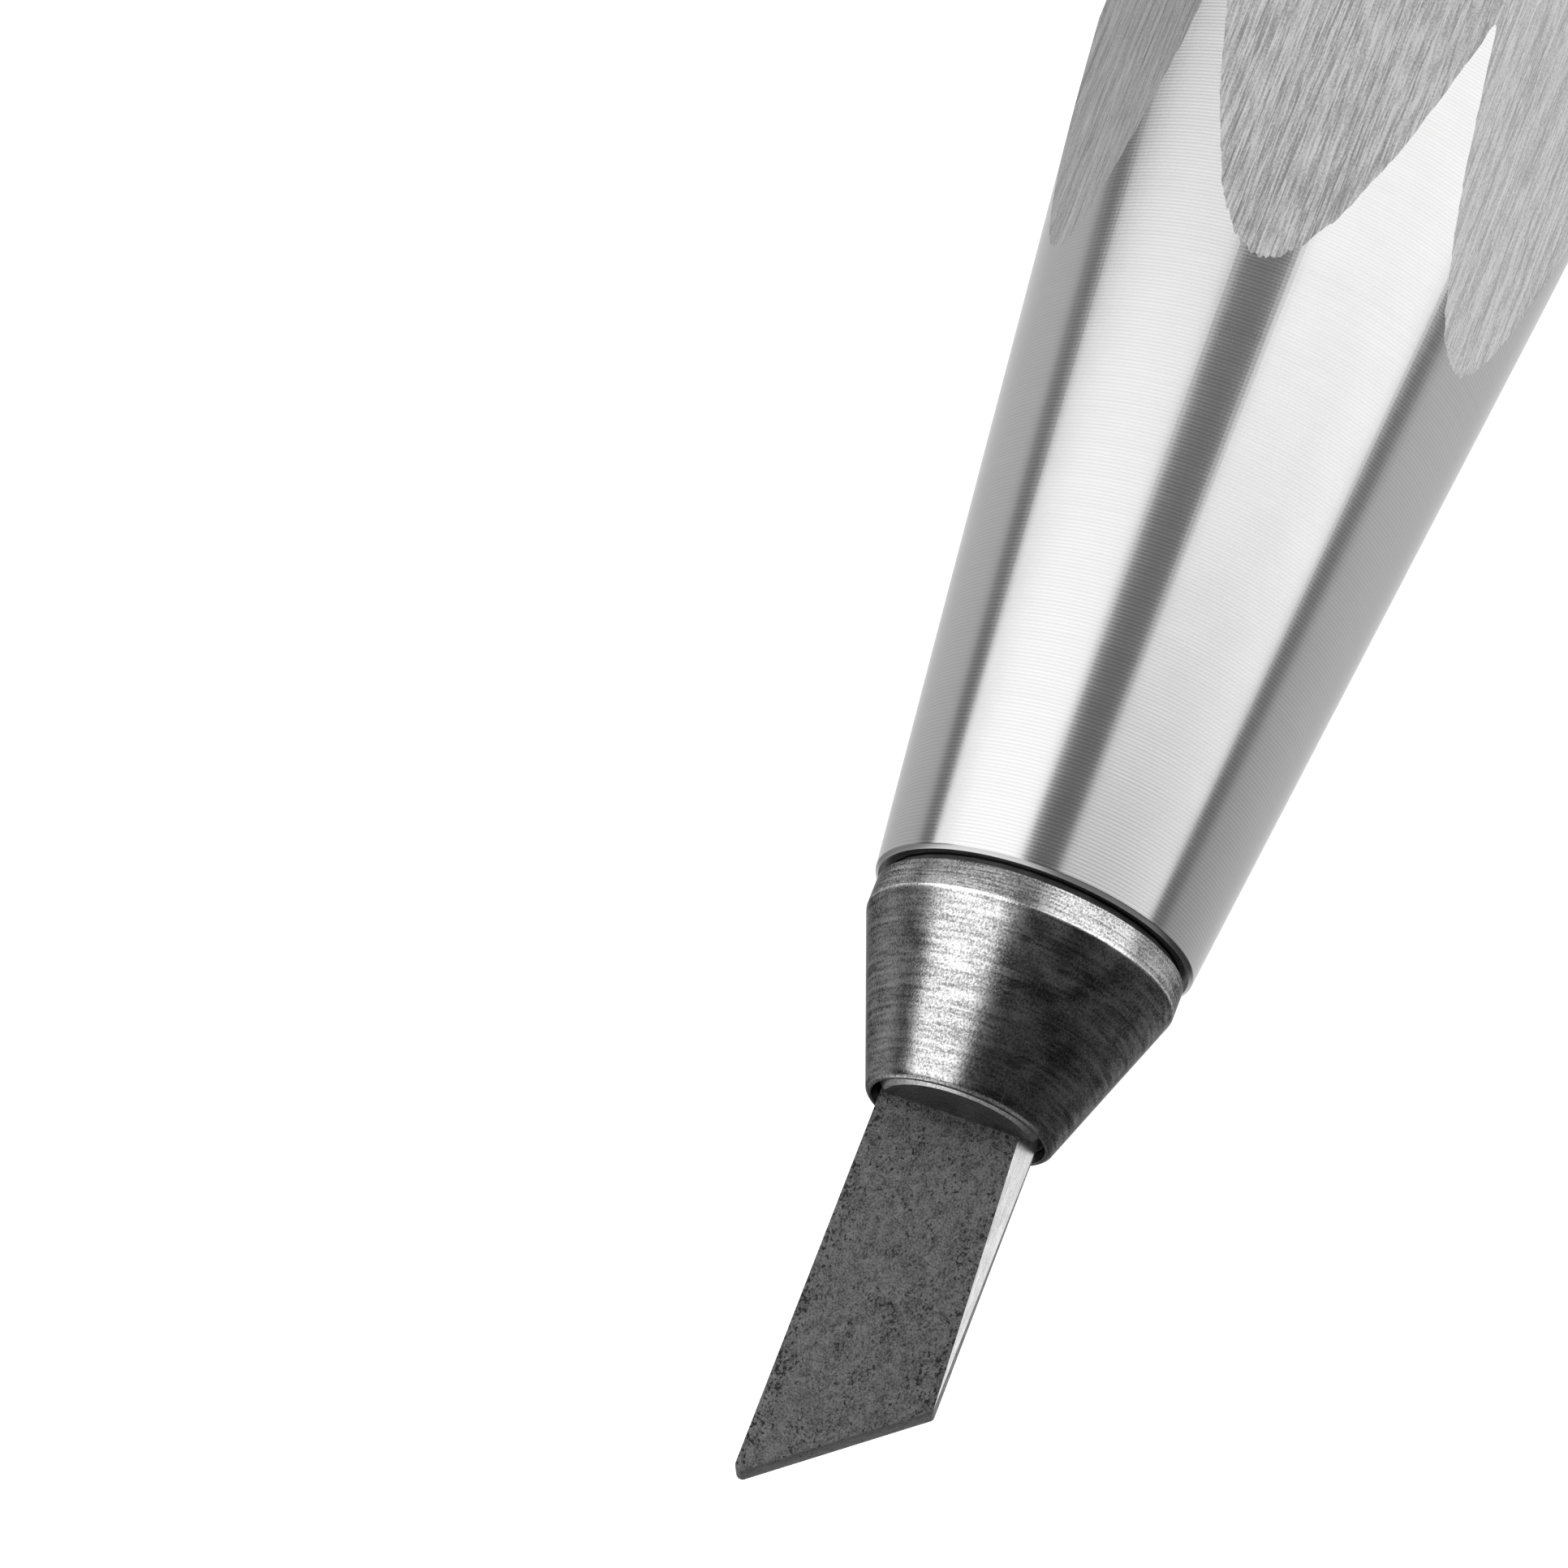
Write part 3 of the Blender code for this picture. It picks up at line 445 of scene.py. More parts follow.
def drawn_metal(name, dark, light, roughness):
    """Metal that was drawn or ground along the axis: sandy streaks, some of them deep and bright."""
    look, tree, shader = new_look(name)
    fine = streaks(tree, length=1.5 * MM, width=0.055 * MM)
    broad = streaks(tree, length=8 * MM, width=0.22 * MM)
    scores = streaks(tree, length=1.3 * MM, width=0.07 * MM)
    sand = grain(tree, size=0.08 * MM)
    tone = weighted(tree, (fine, 0.45), (broad, 0.25), (sand, 0.30))
    tone = calculate(tree, "MAXIMUM", remap(tree, tone, 0.38, 0.62), remap(tree, scores, 0.58, 0.66))
    colour = shaded(tree, tone, dark, light)
    rough = spread(tree, fine, 0.85 * roughness, 1.2 * roughness)
    connect(tree, shader, colour, rough, calculate(tree, "ADD", fine, scores), depth=0.003 * MM)
    return look


def worn_steel(name, dark, light, roughness, edges=()):
    """Dark turned steel with a sandy grain and scratches round the axis.

    Each edge is a place on the axis and a reach. Within that reach of it the colour is painted brighter,
    past light: a painted highlight along the edge.
    """
    look, tree, shader = new_look(name, Specular_Tint=grey(0.25))
    x = tool_space(tree)[0]
    sand = grain(tree, size=0.065 * MM, detail=4.0)
    lines = turning_lines(tree, pitch=0.07 * MM, run=1.8 * MM)
    scratches = remap(tree, turning_lines(tree, pitch=0.06 * MM, run=1.2 * MM), 0.62, 0.72, 0.0, 0.6)
    cloud = grain(tree, size=0.9 * MM)
    tone = weighted(tree, (sand, 0.5), (lines, 0.3), (cloud, 0.12))
    tone = calculate(tree, "MAXIMUM", remap(tree, tone, 0.33, 0.60), scratches)
    rough = spread(tree, cloud, 0.9 * roughness, 1.1 * roughness)
    # Painted highlights: within each edge's reach the colour is raised past light, unevenly with the sand.
    for place, reach in edges:
        distance = calculate(tree, "ABSOLUTE", calculate(tree, "SUBTRACT", x, place))
        edge_highlight = remap(tree, distance, 0.3 * reach, reach, 0.7, 0.0)
        uneven = remap(tree, sand, 0.3, 0.6, 0.5, 1.0)
        tone = calculate(tree, "MULTIPLY_ADD", edge_highlight, uneven, tone)
    colour = shaded(tree, tone, dark, light, limited=False)
    connect(tree, shader, colour, rough, calculate(tree, "ADD", sand, lines), depth=0.003 * MM)
    return look


def blade_face(name):
    """Hard black metal, left as sintered: fine dark pits, more of them in clusters and by the edges."""
    look, tree, shader = new_look(name, metallic=0.55, Specular_IOR_Level=0.4)
    y = tool_space(tree)[1]
    speckle = spread(tree, grain(tree, size=0.065 * MM, detail=4.0))
    clusters = remap(tree, streaks(tree, length=1.2 * MM, width=0.8 * MM), 0.4, 0.7, 0.0, 0.06)
    edge_share = calculate(tree, "DIVIDE", calculate(tree, "ABSOLUTE", y), blade_half_width)
    clusters = calculate(tree, "ADD", clusters, remap(tree, edge_share, 0.65, 1.0, 0.0, 0.06))
    pitting = streaks(tree, length=0.12 * MM, width=0.09 * MM, detail=5.0)
    pits = remap(tree, calculate(tree, "SUBTRACT", pitting, clusters), 0.33, 0.38, 1.0, 0.0)
    patches = streaks(tree, length=0.35 * MM, width=0.3 * MM, detail=5.0)
    tone = weighted(tree, (speckle, 0.6), (remap(tree, patches, 0.25, 0.75, 0.1, 0.9), 0.4))
    tone = calculate(tree, "MULTIPLY", tone, calculate(tree, "SUBTRACT", 1.0, pits))
    colour = shaded(tree, tone, grey(0.010), grey(0.17))
    rough = spread(tree, speckle, 0.42, 0.6)
    height = weighted(tree, (speckle, 1.0), (pits, -0.9))
    connect(tree, shader, colour, rough, height, depth=0.006 * MM)
    return look


def rubber_look(name):
    look, tree, shader = new_look(name, metallic=0.0)
    dust = grain(tree, size=0.05 * MM)
    tone = remap(tree, grain(tree, size=0.8 * MM), 0.35, 0.65)
    colour = shaded(tree, tone, grey(0.012), grey(0.028))
    connect(tree, shader, colour, spread(tree, dust, 0.55, 0.8), dust, depth=0.002 * MM)
    return look


def floor_look(name):
    """A pale floor that glows a little, so that it stays nearly white beside the tool."""
    look, tree, shader = new_look(
        name, metallic=0.0, Specular_IOR_Level=0.2, Emission_Color=grey(1.0), Emission_Strength=0.70
    )
    cloud = add_node(tree, "TexNoise", {"Scale": 1.4, "Detail": 2.0}).outputs[0]
    tree.links.new(shaded(tree, cloud, grey(0.62), grey(0.66)), shader.inputs["Base Color"])
    tree.links.new(spread(tree, cloud, 0.75, 0.9), shader.inputs["Roughness"])
    return look


# Edges whose colour gets a painted highlight: the nose band's two edges and the jaws' chamfer.
nose_highlight_edges = ((band_rear, 0.05 * MM), (band_front, 0.09 * MM))
jaw_highlight_edges = ((mouth - JAW_CHAMFER, 0.5 * MM),)

aluminium = turned_metal("turned_aluminium", dark=grey(0.36), light=grey(0.44), roughness=0.235)
flats = drawn_metal("drawn_aluminium", dark=grey(0.31), light=grey(0.60), roughness=0.35)
nose_steel = worn_steel(
    "worn_nose_steel_painted_highlights", dark=grey(0.10), light=grey(0.49), roughness=0.27, edges=nose_highlight_edges
)
jaw_steel = worn_steel("jaw_steel", dark=grey(0.20), light=grey(0.46), roughness=0.34, edges=jaw_highlight_edges)
blade_steel = blade_face("sintered_blade")
ground_steel = drawn_metal("ground_relief", dark=grey(0.62), light=grey(0.90), roughness=0.32)
tool_steel = worn_steel("tool_steel", dark=grey(0.30), light=grey(0.50), roughness=0.34)
bright_steel = turned_metal("bright_steel", dark=grey(0.50), light=grey(0.62), roughness=0.24)
button_steel = turned_metal("button_steel", dark=grey(0.52), light=grey(0.66), roughness=0.22)
spring_steel = worn_steel("spring_steel", dark=grey(0.22), light=grey(0.42), roughness=0.30)
bronze = turned_metal("bronze", dark=(0.42, 0.26, 0.11, 1.0), light=(0.62, 0.42, 0.20, 1.0), roughness=0.34)
rubber = rubber_look("rubber")


# ---- Handle ------------------------------------------------------------------------------------


def bar_section():
    """The hexagonal bar's outline, with shallow streaks across each flat that only cut inwards."""
    draws = Random(7)
    turns = [i * pi / 3 for i in range(6)]
    rounded = softened([(corner_radius * cos(t), corner_radius * sin(t), CORNER_ROUNDING) for t in turns])
    points = []
    for i, here in enumerate(rounded):
        points.append(here)
        following = rounded[(i + 1) % len(rounded)]
        if (following - here).length < CORNER_ROUNDING:
            continue
        inward = -(here + following).normalized()
        waves = [draws.uniform(0, WAVE_DEPTH) for _ in range(STREAKS_PER_FLAT // STREAKS_PER_WAVE + 2)]
        for k in range(1, STREAKS_PER_FLAT):
            first, share = divmod(k / STREAKS_PER_WAVE, 1)
            wave = waves[int(first)] * (1 - share) + waves[int(first) + 1] * share
            depth = wave + draws.uniform(0, STREAK_DEPTH)
            points.append(here.lerp(following, k / STREAKS_PER_FLAT) + inward * depth)
    return points


def handle_piece():
    """What the hexagonal bar shares with a turned envelope, which gives it the cone and the bores."""
    cone_length = (corner_clear - front_radius) / tan(CONE_ANGLE)
    rear_rise = (corner_clear - handle_rear_radius) * tan(REAR_ANGLE)
    socket_radius = NOSE_SPIGOT_RADIUS + FIT_GAP
    socket_end = spigot_rear - THREAD_RUNOUT
    thread_radius = ferrule_thread_radius + FIT_GAP
    thread_end = handle_rear + FERRULE_THREAD_LENGTH + FACE_GAP
    envelope = softened(
        [
            (seam, socket_radius, CRISP_EDGE),
            (seam, front_radius - FRONT_CHAMFER, FRONT_LIP_ROUNDING),
            (seam - FRONT_CHAMFER, front_radius + FRONT_CHAMFER * tan(CONE_ANGLE), CRISP_EDGE),
            (seam - cone_length, corner_clear, 0),
            (handle_rear + rear_rise, corner_clear, 0),
            (handle_rear, handle_rear_radius, EASED_EDGE),
            (handle_rear, thread_radius, BROKEN_EDGE),
            (thread_end, thread_radius, 0),
            (thread_end, handle_bore_radius, 0),
            (socket_end, handle_bore_radius, 0),
            (socket_end, socket_radius, 0),
        ]
    )
    handle = solid("handle_turned_bar", spun(envelope))
    section = [(handle_rear - OVERRUN, y, axis_height + z) for y, z in bar_section()]
    bar = extruded(section, (seam - handle_rear + 2 * OVERRUN, 0, 0))
    combine(handle, bar, "INTERSECT")
    smooth(handle)
    drawn = mark_flats(handle.data)
    calm_streaks(handle.data, drawn)
    settle(handle, (aluminium, flats), "handle", "handle_body")


def mark_flats(mesh):
    """Gives the bar's flats the second material and a crisp border, and returns their faces' numbers."""
    drawn = set()
    for face in mesh.polygons:
        outward = Vector((0, face.center.y, face.center.z - axis_height))
        if abs(face.normal.x) < FLAT_LEAN and face.normal.dot(outward) > FLAT_REACH_SHARE * flat_radius:
            face.material_index = 1
            drawn.add(face.index)
    sides = {}
    for face in mesh.polygons:
        for key in face.edge_keys:
            sides.setdefault(key, []).append(face.index in drawn)
    for edge in mesh.edges:
        both = sides[tuple(sorted(edge.vertices))]
        if any(both) and not all(both):
            edge.use_edge_sharp = True
    return drawn


def calm_streaks(mesh, drawn):
    """Turns the flats' shading normals most of the way to those of even flats."""
    normals = [corner.vector.copy() for corner in mesh.corner_normals]
    for index in drawn:
        face = mesh.polygons[index]
        sixth = round(atan2(face.center.z - axis_height, face.center.y) / (pi / 3) - 0.5) + 0.5
        even = Vector((0, cos(sixth * pi / 3), sin(sixth * pi / 3)))
        for corner in face.loop_indices:
            normals[corner] = even.lerp(normals[corner], STREAK_SHADING).normalized()
    mesh.normals_split_custom_set(normals)


# ---- Nose and jaws -----------------------------------------------------------------------------


def nose_piece():
    bore_radius = seat_small_radius + NOSE_RELIEF
    outline = softened(
        [
            (band_rear, band_radius, NOSE_REAR_ROUNDING),
            (band_front, band_radius, SOFT_EDGE),
            (mouth, mouth_radius + NOSE_RIM_WALL, NOSE_RIM_ROUNDING),
            (mouth, mouth_radius, FINE_EDGE),
            (seat_end, seat_small_radius, 0),
            (seat_end - NOSE_RELIEF, bore_radius, 0),
            (spigot_rear, bore_radius, BROKEN_EDGE),
            (spigot_rear, NOSE_SPIGOT_RADIUS, EASED_EDGE),
            (band_rear, NOSE_SPIGOT_RADIUS, 0),
        ],
        steps=8,
    )
    nose = solid("nose_turned_cap", spun(outline))
    smooth(nose)
    settle(nose, (nose_steel,), "handle", "nose_cap")


def jaw_piece(name, body):
    """A half-round jaw: a turned bar with the blade's slot milled off. The lower one is turned over."""
    pivot = jaw_high.x - JAW_REACH
    jaw = solid(name, spun(jaw_outline(pivot), SMALL_FACETS))
    combine(jaw, blade_slot())
    combine(jaw, pivot_hole(pivot))
    if body == "lower_jaw":
        over = Matrix.Translation((0, 0, axis_height)) @ Matrix.Rotation(pi, 4, "X")
        jaw.data.transform(over @ Matrix.Translation((0, 0, -axis_height)))
    smooth(jaw, angle=25)
    settle(jaw, (jaw_steel,), body, body)


def jaw_outline(pivot):
    face = mouth - JAW_RECESS
    head_front = mouth_radius - JAW_RECESS * tan(SEAT_ANGLE) - SLIDE_GAP
    head_rear = seat_small_radius - SLIDE_GAP
    tail_front = pivot + CARRIER_OVERHANG - JAW_NECK_TAPER
    ring_low, ring_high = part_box("jaw_ring")
    groove_rear, groove_front = ring_low.x - FACE_GAP, ring_high.x + FACE_GAP
    groove_radius = jaw_tail_radius - JAW_GROOVE_DEPTH
    return softened(
        [
            (face, 0, 0),
            (face, head_front - JAW_CHAMFER, FINE_EDGE),
            (face - JAW_CHAMFER, head_front - JAW_CHAMFER * tan(SEAT_ANGLE), JAW_HEAD_ROUNDING),
            (seat_end, head_rear, 0),
            (seat_end - (head_rear - JAW_NECK_RADIUS), JAW_NECK_RADIUS, SOFT_EDGE),
            (tail_front + JAW_NECK_TAPER, JAW_NECK_RADIUS, SOFT_EDGE),
            (tail_front, jaw_tail_radius, EASED_EDGE),
            (groove_front, jaw_tail_radius, CRISP_EDGE),
            (groove_front, groove_radius, 0),
            (groove_rear, groove_radius, 0),
            (groove_rear, jaw_tail_radius, CRISP_EDGE),
            (jaw_low.x, jaw_tail_radius, JAW_TAIL_ROUNDING),
            (jaw_low.x, 0, 0),
        ]
    )


def blade_slot():
    """What is milled off an upper jaw: all below the blade's face, and a little more behind the grip."""
    front, rear = jaw_high.x + OVERRUN, jaw_low.x - OVERRUN
    grip = blade_half_thickness + JAW_GRIP_GAP
    grip_rear = jaw_high.x - JAW_GRIP_LENGTH
    reach = 2 * jaw_tail_radius
    slot = [
        (front, -reach),
        (front, grip),
        (grip_rear, grip),
        (grip_rear - JAW_RELIEF, grip + JAW_RELIEF),
        (rear, grip + JAW_RELIEF),
        (rear, -reach),
    ]
    return extruded([(x, -reach, axis_height + z) for x, z in slot], (0, 2 * reach, 0))


def pivot_hole(pivot):
    """A bar across an upper jaw, in the place of its pivot pin."""
    height = axis_height + blade_half_thickness + PIVOT_OFFSET
    across = Matrix.Translation((pivot, 0, height)) @ Matrix.Rotation(pi / 2, 4, "X")
    radius = PIVOT_RADIUS + SLIDE_GAP
    pin = bmesh.new()
    bmesh.ops.create_cone(
        pin,
        cap_ends=True,
        segments=HOLE_FACETS,
        radius1=radius,
        radius2=radius,
        depth=8 * jaw_tail_radius,
        matrix=across,
    )
    return pin


# ---- Blade -------------------------------------------------------------------------------------


def blade_piece():
    tip, rear, half = mouth + BLADE_REACH, blade_low.x, blade_half_width
    short = tip - 2 * half * tan(BLADE_END_ANGLE)
    outline = softened(
        [
            (rear, -half, BROKEN_EDGE),
            (tip, -half, BLADE_CORNER_RADIUS),
            (short, half, BLADE_CORNER_RADIUS),
            (rear, half, BROKEN_EDGE),
        ],
        steps=6,
    )
    underside = [(x, y, axis_height - blade_half_thickness) for x, y in outline]
    blade = solid("blade_strip", extruded(underside, (0, 0, 2 * blade_half_thickness)))
    combine(blade, relief_wedge(short))
    edge = blade.modifiers.new("edges", "BEVEL")
    edge.width = BLADE_EDGE_RADIUS
    edge.segments = 3
    edge.limit_method = "ANGLE"
    edge.angle_limit = radians(25)
    apply_modifiers(blade)
    smooth(blade)
    slant = Vector((0, RELIEF_DEPTH, RELIEF_WIDTH)).normalized()
    for face in blade.data.polygons:
        if face.normal.dot(slant) > RELIEF_FACING:
            face.material_index = 1
    settle(blade, (blade_steel, ground_steel), "blade", "blade")


def relief_wedge(short):
    """A wedge that grinds the blade's upper edge on its short side, fading out at the end cut."""
    run = short - mouth
    growth = (run + RELIEF_INSIDE) / run
    top, side = axis_height + blade_half_thickness, blade_half_width
    width, depth = RELIEF_WIDTH * growth, RELIEF_DEPTH * growth
    rear = mouth - RELIEF_INSIDE
    reach = OVERRUN / hypot(width, depth)
    bm = bmesh.new()
    tip = bm.verts.new((short, side, top))
    inner = bm.verts.new((rear, side - width - width * reach, top + depth * reach))
    lower = bm.verts.new((rear, side + width * reach, top - depth - depth * reach))
    corner = bm.verts.new((rear, side + OVERRUN, top + OVERRUN))
    for a, b, c in ((inner, lower, corner), (tip, inner, lower), (tip, lower, corner), (tip, corner, inner)):
        bm.faces.new((a, b, c))
    bmesh.ops.recalc_face_normals(bm, faces=bm.faces)
    return bm


# ---- Rear end ----------------------------------------------------------------------------------


def ferrule_piece():
    rear, front = (corner.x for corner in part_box("rear_ferrule"))
    flange_radius = half_height("rear_ferrule")
    flange_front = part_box("ferrule_gasket")[0].x - FACE_GAP
    lip_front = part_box("rear_bush")[0].x - FACE_GAP
    lip_radius = shank_radius + FERRULE_LIP_GAP
    outline = softened(
        [
            (front, ferrule_bore_radius, BROKEN_EDGE),
            (front, ferrule_thread_radius, EASED_EDGE),
            (flange_front, ferrule_thread_radius, 0),
            (flange_front, flange_radius, FLANGE_ROUNDING),
            (rear + EDGE_CHAMFER, flange_radius, EASED_EDGE),
            (rear, flange_radius - EDGE_CHAMFER, EASED_EDGE),
            (rear, lip_radius, FERRULE_LIP_ROUNDING),
            (lip_front, lip_radius, 0),
            (lip_front, ferrule_bore_radius, 0),
        ]
    )
    ferrule = solid("rear_ferrule_turned", spun(outline))
    smooth(ferrule)
    settle(ferrule, (bright_steel,), "handle", "rear_ferrule")


def button_piece():
    front, rear = button_high.x, button_low.x
    head_front = front - BUTTON_SHANK_LENGTH
    grip_front = head_front - EDGE_CHAMFER
    ring_low, ring_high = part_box("button_o_ring")
    ring_floor = shank_radius - BUTTON_RING_THICKNESS
    ring_front, ring_rear = ring_high.x + FACE_GAP, ring_low.x - FACE_GAP
    corners = [
        (front, button_bore_radius, BROKEN_EDGE),
        (front, shank_radius, EASED_EDGE),
        (ring_front, shank_radius, CRISP_EDGE),
        (ring_front, ring_floor, 0),
        (ring_rear, ring_floor, 0),
        (ring_rear, shank_radius, CRISP_EDGE),
        (head_front, shank_radius, 0),
        (head_front, head_radius - EDGE_CHAMFER, BROKEN_EDGE),
        (grip_front, head_radius, BROKEN_EDGE),
    ]
    for i in range(BUTTON_GROOVES):
        middle = grip_front - BUTTON_GROOVE_PITCH / 2 - i * BUTTON_GROOVE_PITCH
        corners += [
            (middle + BUTTON_GROOVE_WIDTH / 2, head_radius, GROOVE_EDGE_ROUNDING),
            (middle, head_radius - BUTTON_GROOVE_DEPTH, GROOVE_FLOOR_ROUNDING),
            (middle - BUTTON_GROOVE_WIDTH / 2, head_radius, GROOVE_EDGE_ROUNDING),
        ]
    corners += [
        (rear, head_radius, BUTTON_EDGE_RADIUS),
        (rear, 0, 0),
        (front - BUTTON_SOCKET, 0, 0),
        (front - BUTTON_SOCKET, button_bore_radius, 0),
    ]
    button = solid("push_button_turned", spun(softened(corners, steps=6), BUTTON_FACETS))
    smooth(button)
    settle(button, (button_steel,), "clutch", "push_button")


def rubber_ring(name, node, body):
    """A soft ring of round section, in the place of its CAD node."""
    low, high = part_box(node)
    minor = (high.x - low.x) / 2
    middle, centre = (low.x + high.x) / 2, half_height(node) - minor
    turns = [2 * pi * i / RING_FACETS for i in range(RING_FACETS)]
    section = [(middle + minor * cos(t), centre + minor * sin(t)) for t in turns]
    ring = solid(name, spun(section, SMALL_FACETS))
    smooth(ring, angle=60)
    settle(ring, (rubber,), body, node)


# ---- Spring ------------------------------------------------------------------------------------


def spring_piece():
    """The return spring as one still coil. In the tool its front end stays with the handle, and its rear end
    moves with the clutch.
    """
    low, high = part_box("return_spring")
    wire = SPRING_WIRE / 2
    coil = half_height("return_spring") - wire
    length = high.x - low.x - SPRING_WIRE
    steps = SPRING_TURNS * SPRING_STEPS
    section = [2 * pi * k / WIRE_FACETS for k in range(WIRE_FACETS)]
    along = Vector((1, 0, 0))
    bm = bmesh.new()
    rings = []
    for i in range(steps + 1):
        turn = 2 * pi * i / SPRING_STEPS
        x = high.x - wire - length * closed_end_share(i / steps, length)
        out = Vector((0, cos(turn), sin(turn)))
        middle = Vector((x, 0, axis_height)) + coil * out
        rings.append([bm.verts.new(middle + wire * (cos(a) * out + sin(a) * along)) for a in section])
    for a, b in zip(rings, rings[1:], strict=False):
        for k in range(WIRE_FACETS):
            following = (k + 1) % WIRE_FACETS
            bm.faces.new((a[k], a[following], b[following], b[k]))
    bm.faces.new(rings[0])
    bm.faces.new(rings[-1])
    bmesh.ops.recalc_face_normals(bm, faces=bm.faces)
    spring = solid("return_spring_coil", bm)
    smooth(spring, angle=50)
    settle(spring, (spring_steel,), None, "return_spring")
    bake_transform(spring)


def closed_end_share(t, length):
    """How far along the spring a turn lies: the first and last turns lie close to the next one."""
    end = 1 / SPRING_TURNS
    end_share = SPRING_WIRE * END_TURN_PITCH / length
    if t < end:
        return end_share * t / end
    if t > 1 - end:
        return 1 - end_share * (1 - t) / end
    return end_share + (1 - 2 * end_share) * (t - end) / (1 - 2 * end)


handle_piece()
nose_piece()
jaw_piece("upper_jaw_milled", "upper_jaw")
jaw_piece("lower_jaw_milled", "lower_jaw")
blade_piece()
ferrule_piece()
button_piece()
rubber_ring("button_ring_soft", "button_o_ring", "clutch")
rubber_ring("jaw_ring_soft", "jaw_ring", "clutch")
spring_piece()

# ---- CAD nodes that stay, with finer materials -------------------------------------------------

kept = {
    # The nose seal is a black ring in the seam between handle and nose, put where the seam's shadow falls:
    # painted shade.
    "nose_seal": rubber,
    "ferrule_gasket": rubber,
    "front_bush": bronze,
    "rear_bush": bronze,
    "spring_collar": bronze,
    "key_pin": tool_steel,
    "jaw_carrier": tool_steel,
    "draw_tube": tool_steel,
    "spring_washer": bright_steel,
    "lock_nut": bright_steel,
    "upper_pivot_pin": bright_steel,
    "lower_pivot_pin": bright_steel,
    "collar_circlip": spring_steel,
}
for node_name, look in kept.items():
    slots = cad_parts[node_name].data.materials
    for i in range(len(slots)):
        slots[i] = look

# ---- Floor, light and camera -------------------------------------------------------------------


def floor():
    """A wide floor that reflections don't show, because the world stands in for it there."""
    bm = bmesh.new()
    bmesh.ops.create_grid(bm, x_segments=FLOOR_CELLS, y_segments=FLOOR_CELLS, size=FLOOR_REACH)
    obj = solid("floor", bm)
    obj.data.materials.append(floor_look("pale_floor"))
    obj.visible_glossy = False


def softbox(name, lean, toward, reach, half_angle, radiance):
    """A rectangular light beside the tool that faces its axis.

    lean is how many degrees it stands from straight up, towards +Y or -Y. reach is where it starts
    and ends along X, from the seam. half_angle is half of the arc that it fills round the axis.
    """
    lean, half_angle = radians(lean), radians(half_angle)
    start, end = reach
    along = Vector((1, 0, 0))
    out = Vector((0, toward * sin(lean), cos(lean)))
    data = bpy.data.lights.new(name, "AREA")
    data.shape = "RECTANGLE"
    data.size = end - start
    data.size_y = 2 * LIGHT_DISTANCE * tan(half_angle)
    data.energy = radiance * pi * data.size * data.size_y
    obj = bpy.data.objects.new(name, data)
    place = Vector((seam, 0, axis_height)) + out * LIGHT_DISTANCE + along * (start + end) / 2
    turn = Matrix((along, out.cross(along), out)).transposed()
    obj.matrix_world = Matrix.Translation(place) @ turn.to_4x4()
    obj.visible_camera = False
    bpy.context.scene.collection.objects.link(obj)


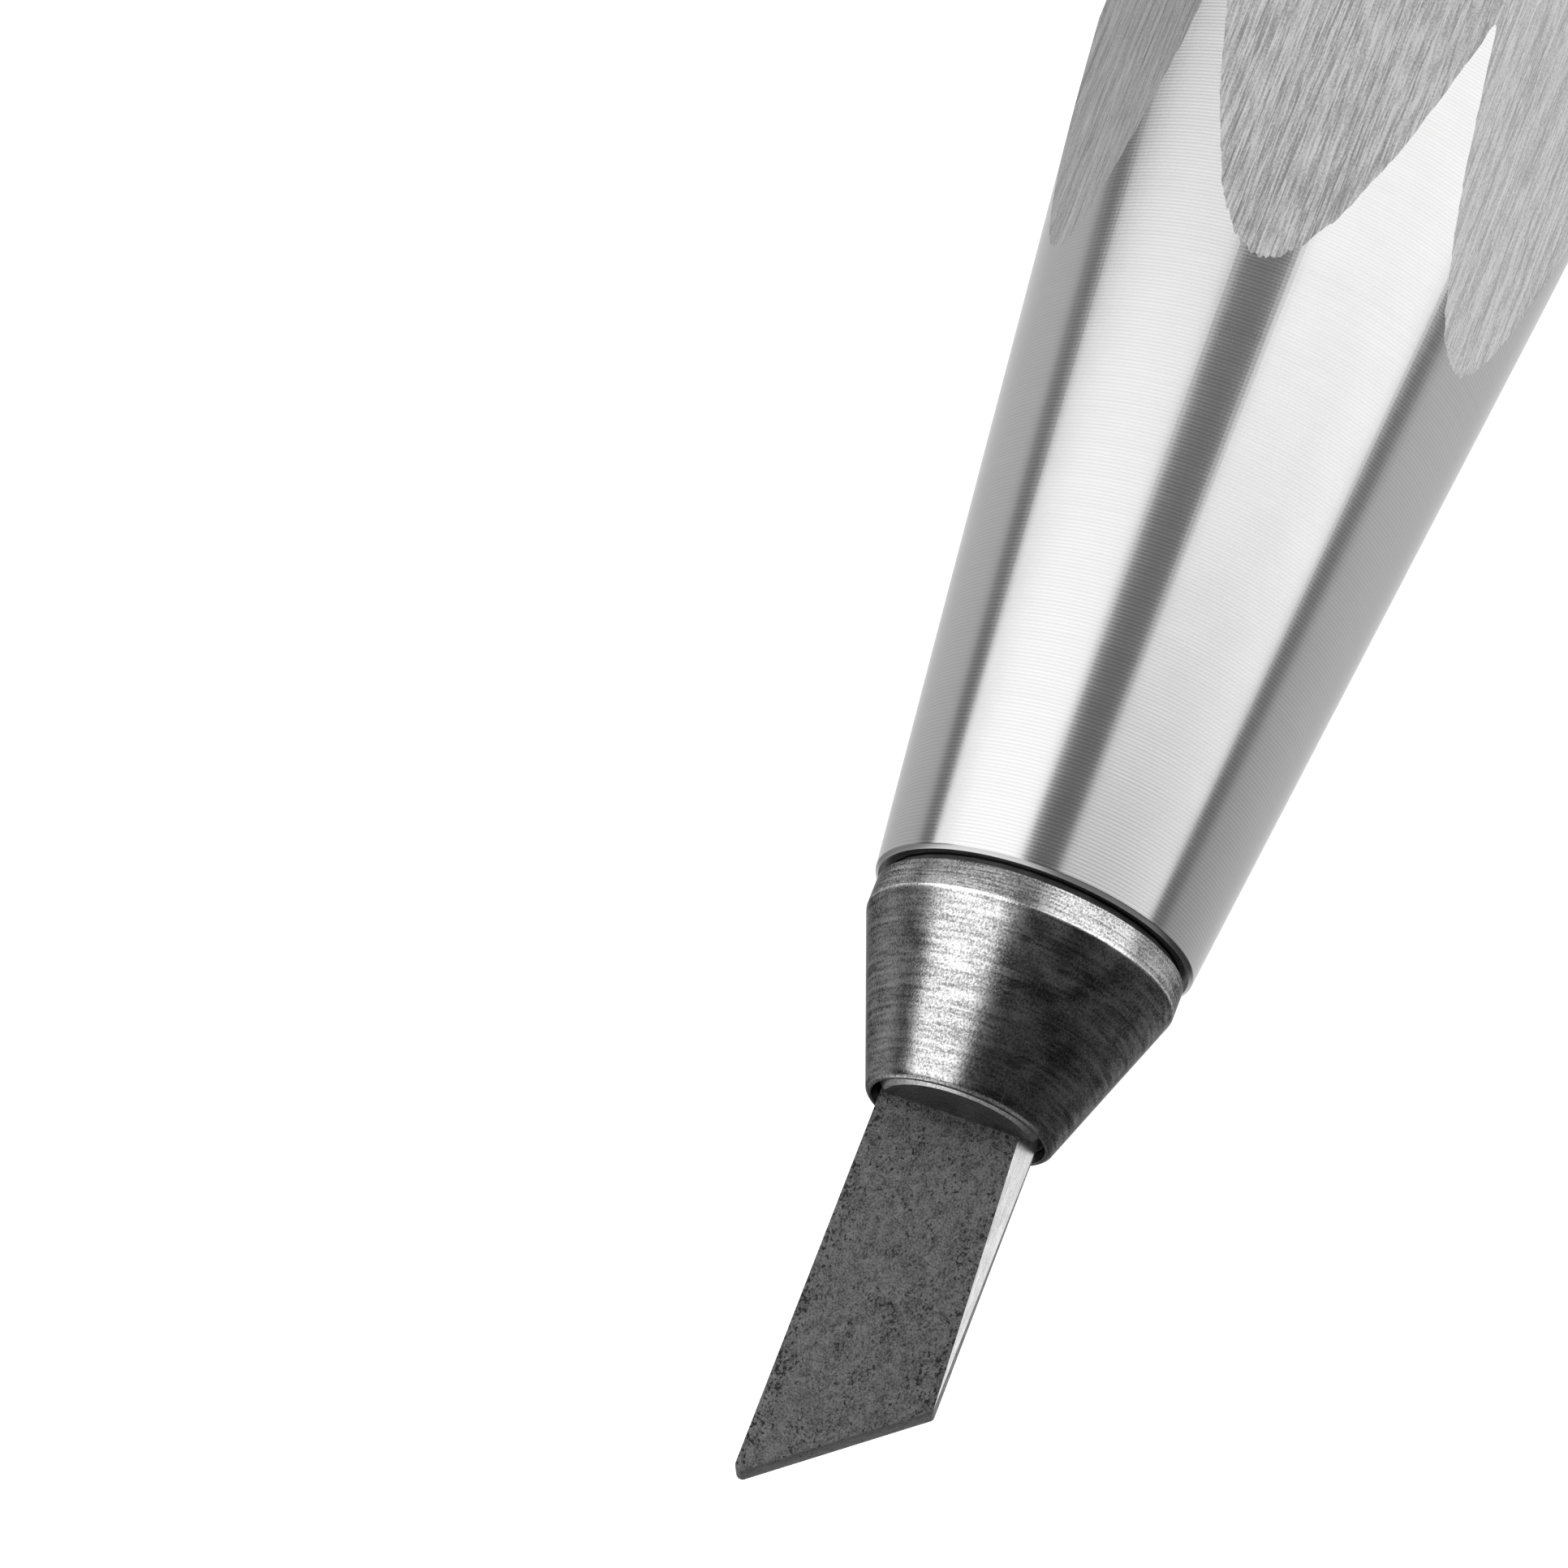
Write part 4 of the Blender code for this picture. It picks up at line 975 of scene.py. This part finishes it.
def surroundings(tree):
    """How strongly the world glows in each direction: x along the tool, y across it, and z upwards.

    Below the horizon it stands in for the floor, which reflections don't show.
    """
    direction = add_node(tree, "TexCoord").outputs["Generated"]
    x, y, z = add_node(tree, "SeparateXYZ", {0: direction}).outputs

    # Above the horizon: dim towards the handle's rear, and nearly dark towards the blade.
    above = remap(tree, x, -0.12, 0.18, 0.33, 0.008)

    # Below it: bright behind, apart from the far left, and weaker beside and in front of the seam.
    # Straight down: bright where the direction leans back, dark where it leans forward.
    far_left = remap(tree, y, -0.7, -0.5, 1.0, 0.0)
    behind = mix(tree, far_left, 1.15, remap(tree, x, -0.45, -0.38, 0.15, 1.1))
    beside = remap(tree, y, -0.3, 0.3, 0.5, 0.1)
    below = mix(tree, remap(tree, x, -0.26, 0.0), behind, beside)
    beneath = remap(tree, x, 0.0, 0.3, 1.2, 0.15)
    below = mix(tree, remap(tree, z, -0.95, -0.8, 1.0, 0.0), below, beneath)

    # Straight ahead: even, with a strong glow on the left that fades high up.
    glow_left = remap(tree, y, -0.3, 0.1, 1.5, 0.0)
    glow = calculate(tree, "MULTIPLY", glow_left, remap(tree, z, 0.3, 0.5, 1.0, 0.2))
    ahead = calculate(tree, "ADD", glow, 0.4)

    strength = mix(tree, remap(tree, z, -0.17, -0.03, 1.0, 0.0), above, below)
    return mix(tree, remap(tree, x, 0.58, 0.75), strength, ahead)


def studio():
    """Four softboxes over the tool, two of them on its left, and a world that is uneven all round."""
    softbox("left_softbox", lean=49, toward=-1, reach=(-0.20, 0.03), half_angle=33, radiance=2.15)
    softbox("front_left_softbox", lean=41, toward=-1, reach=(0.03, 0.46), half_angle=27.5, radiance=3.0)
    softbox("right_softbox", lean=46, toward=1, reach=(-0.50, -0.03), half_angle=36, radiance=2.2)
    softbox("rear_softbox", lean=3, toward=-1, reach=(-0.75, -0.35), half_angle=30, radiance=1.15)
    world = bpy.data.worlds.new("studio")
    bpy.context.scene.world = world
    world.use_nodes = True
    background = world.node_tree.nodes["Background"]
    background.inputs["Color"].default_value = grey(1.0)
    world.node_tree.links.new(surroundings(world.node_tree), background.inputs["Strength"])


def camera():
    """The main view: from almost overhead, with the tool pointing down and to the left."""
    along = Vector((-sin(AXIS_LEAN) * cos(AXIS_PITCH), cos(AXIS_LEAN) * cos(AXIS_PITCH), -sin(AXIS_PITCH)))
    back = Vector((0, 0, -1))
    toward = (back - back.dot(along) * along).normalized()
    side = toward.cross(along)
    up = cos(TOOL_ROLL) * toward + sin(TOOL_ROLL) * side
    left = -sin(TOOL_ROLL) * toward + cos(TOOL_ROLL) * side
    seen = Matrix((along, left, up))  # from the camera's right, down and forward to the tool's X, Y, Z
    data = bpy.data.cameras.new("camera")
    data.lens = LENS
    data.sensor_width = SENSOR
    data.clip_start = NEAREST
    obj = bpy.data.objects.new("camera", data)
    turn = seen @ Matrix(((1, 0, 0), (0, -1, 0), (0, 0, -1)))
    place = Vector((seam, 0, axis_height)) - seen @ SEAM_IN_VIEW
    obj.matrix_world = Matrix.Translation(place) @ turn.to_4x4()
    bpy.context.scene.collection.objects.link(obj)
    bpy.context.scene.camera = obj


floor()
studio()
camera()
bpy.context.scene.view_settings.view_transform = "Standard"
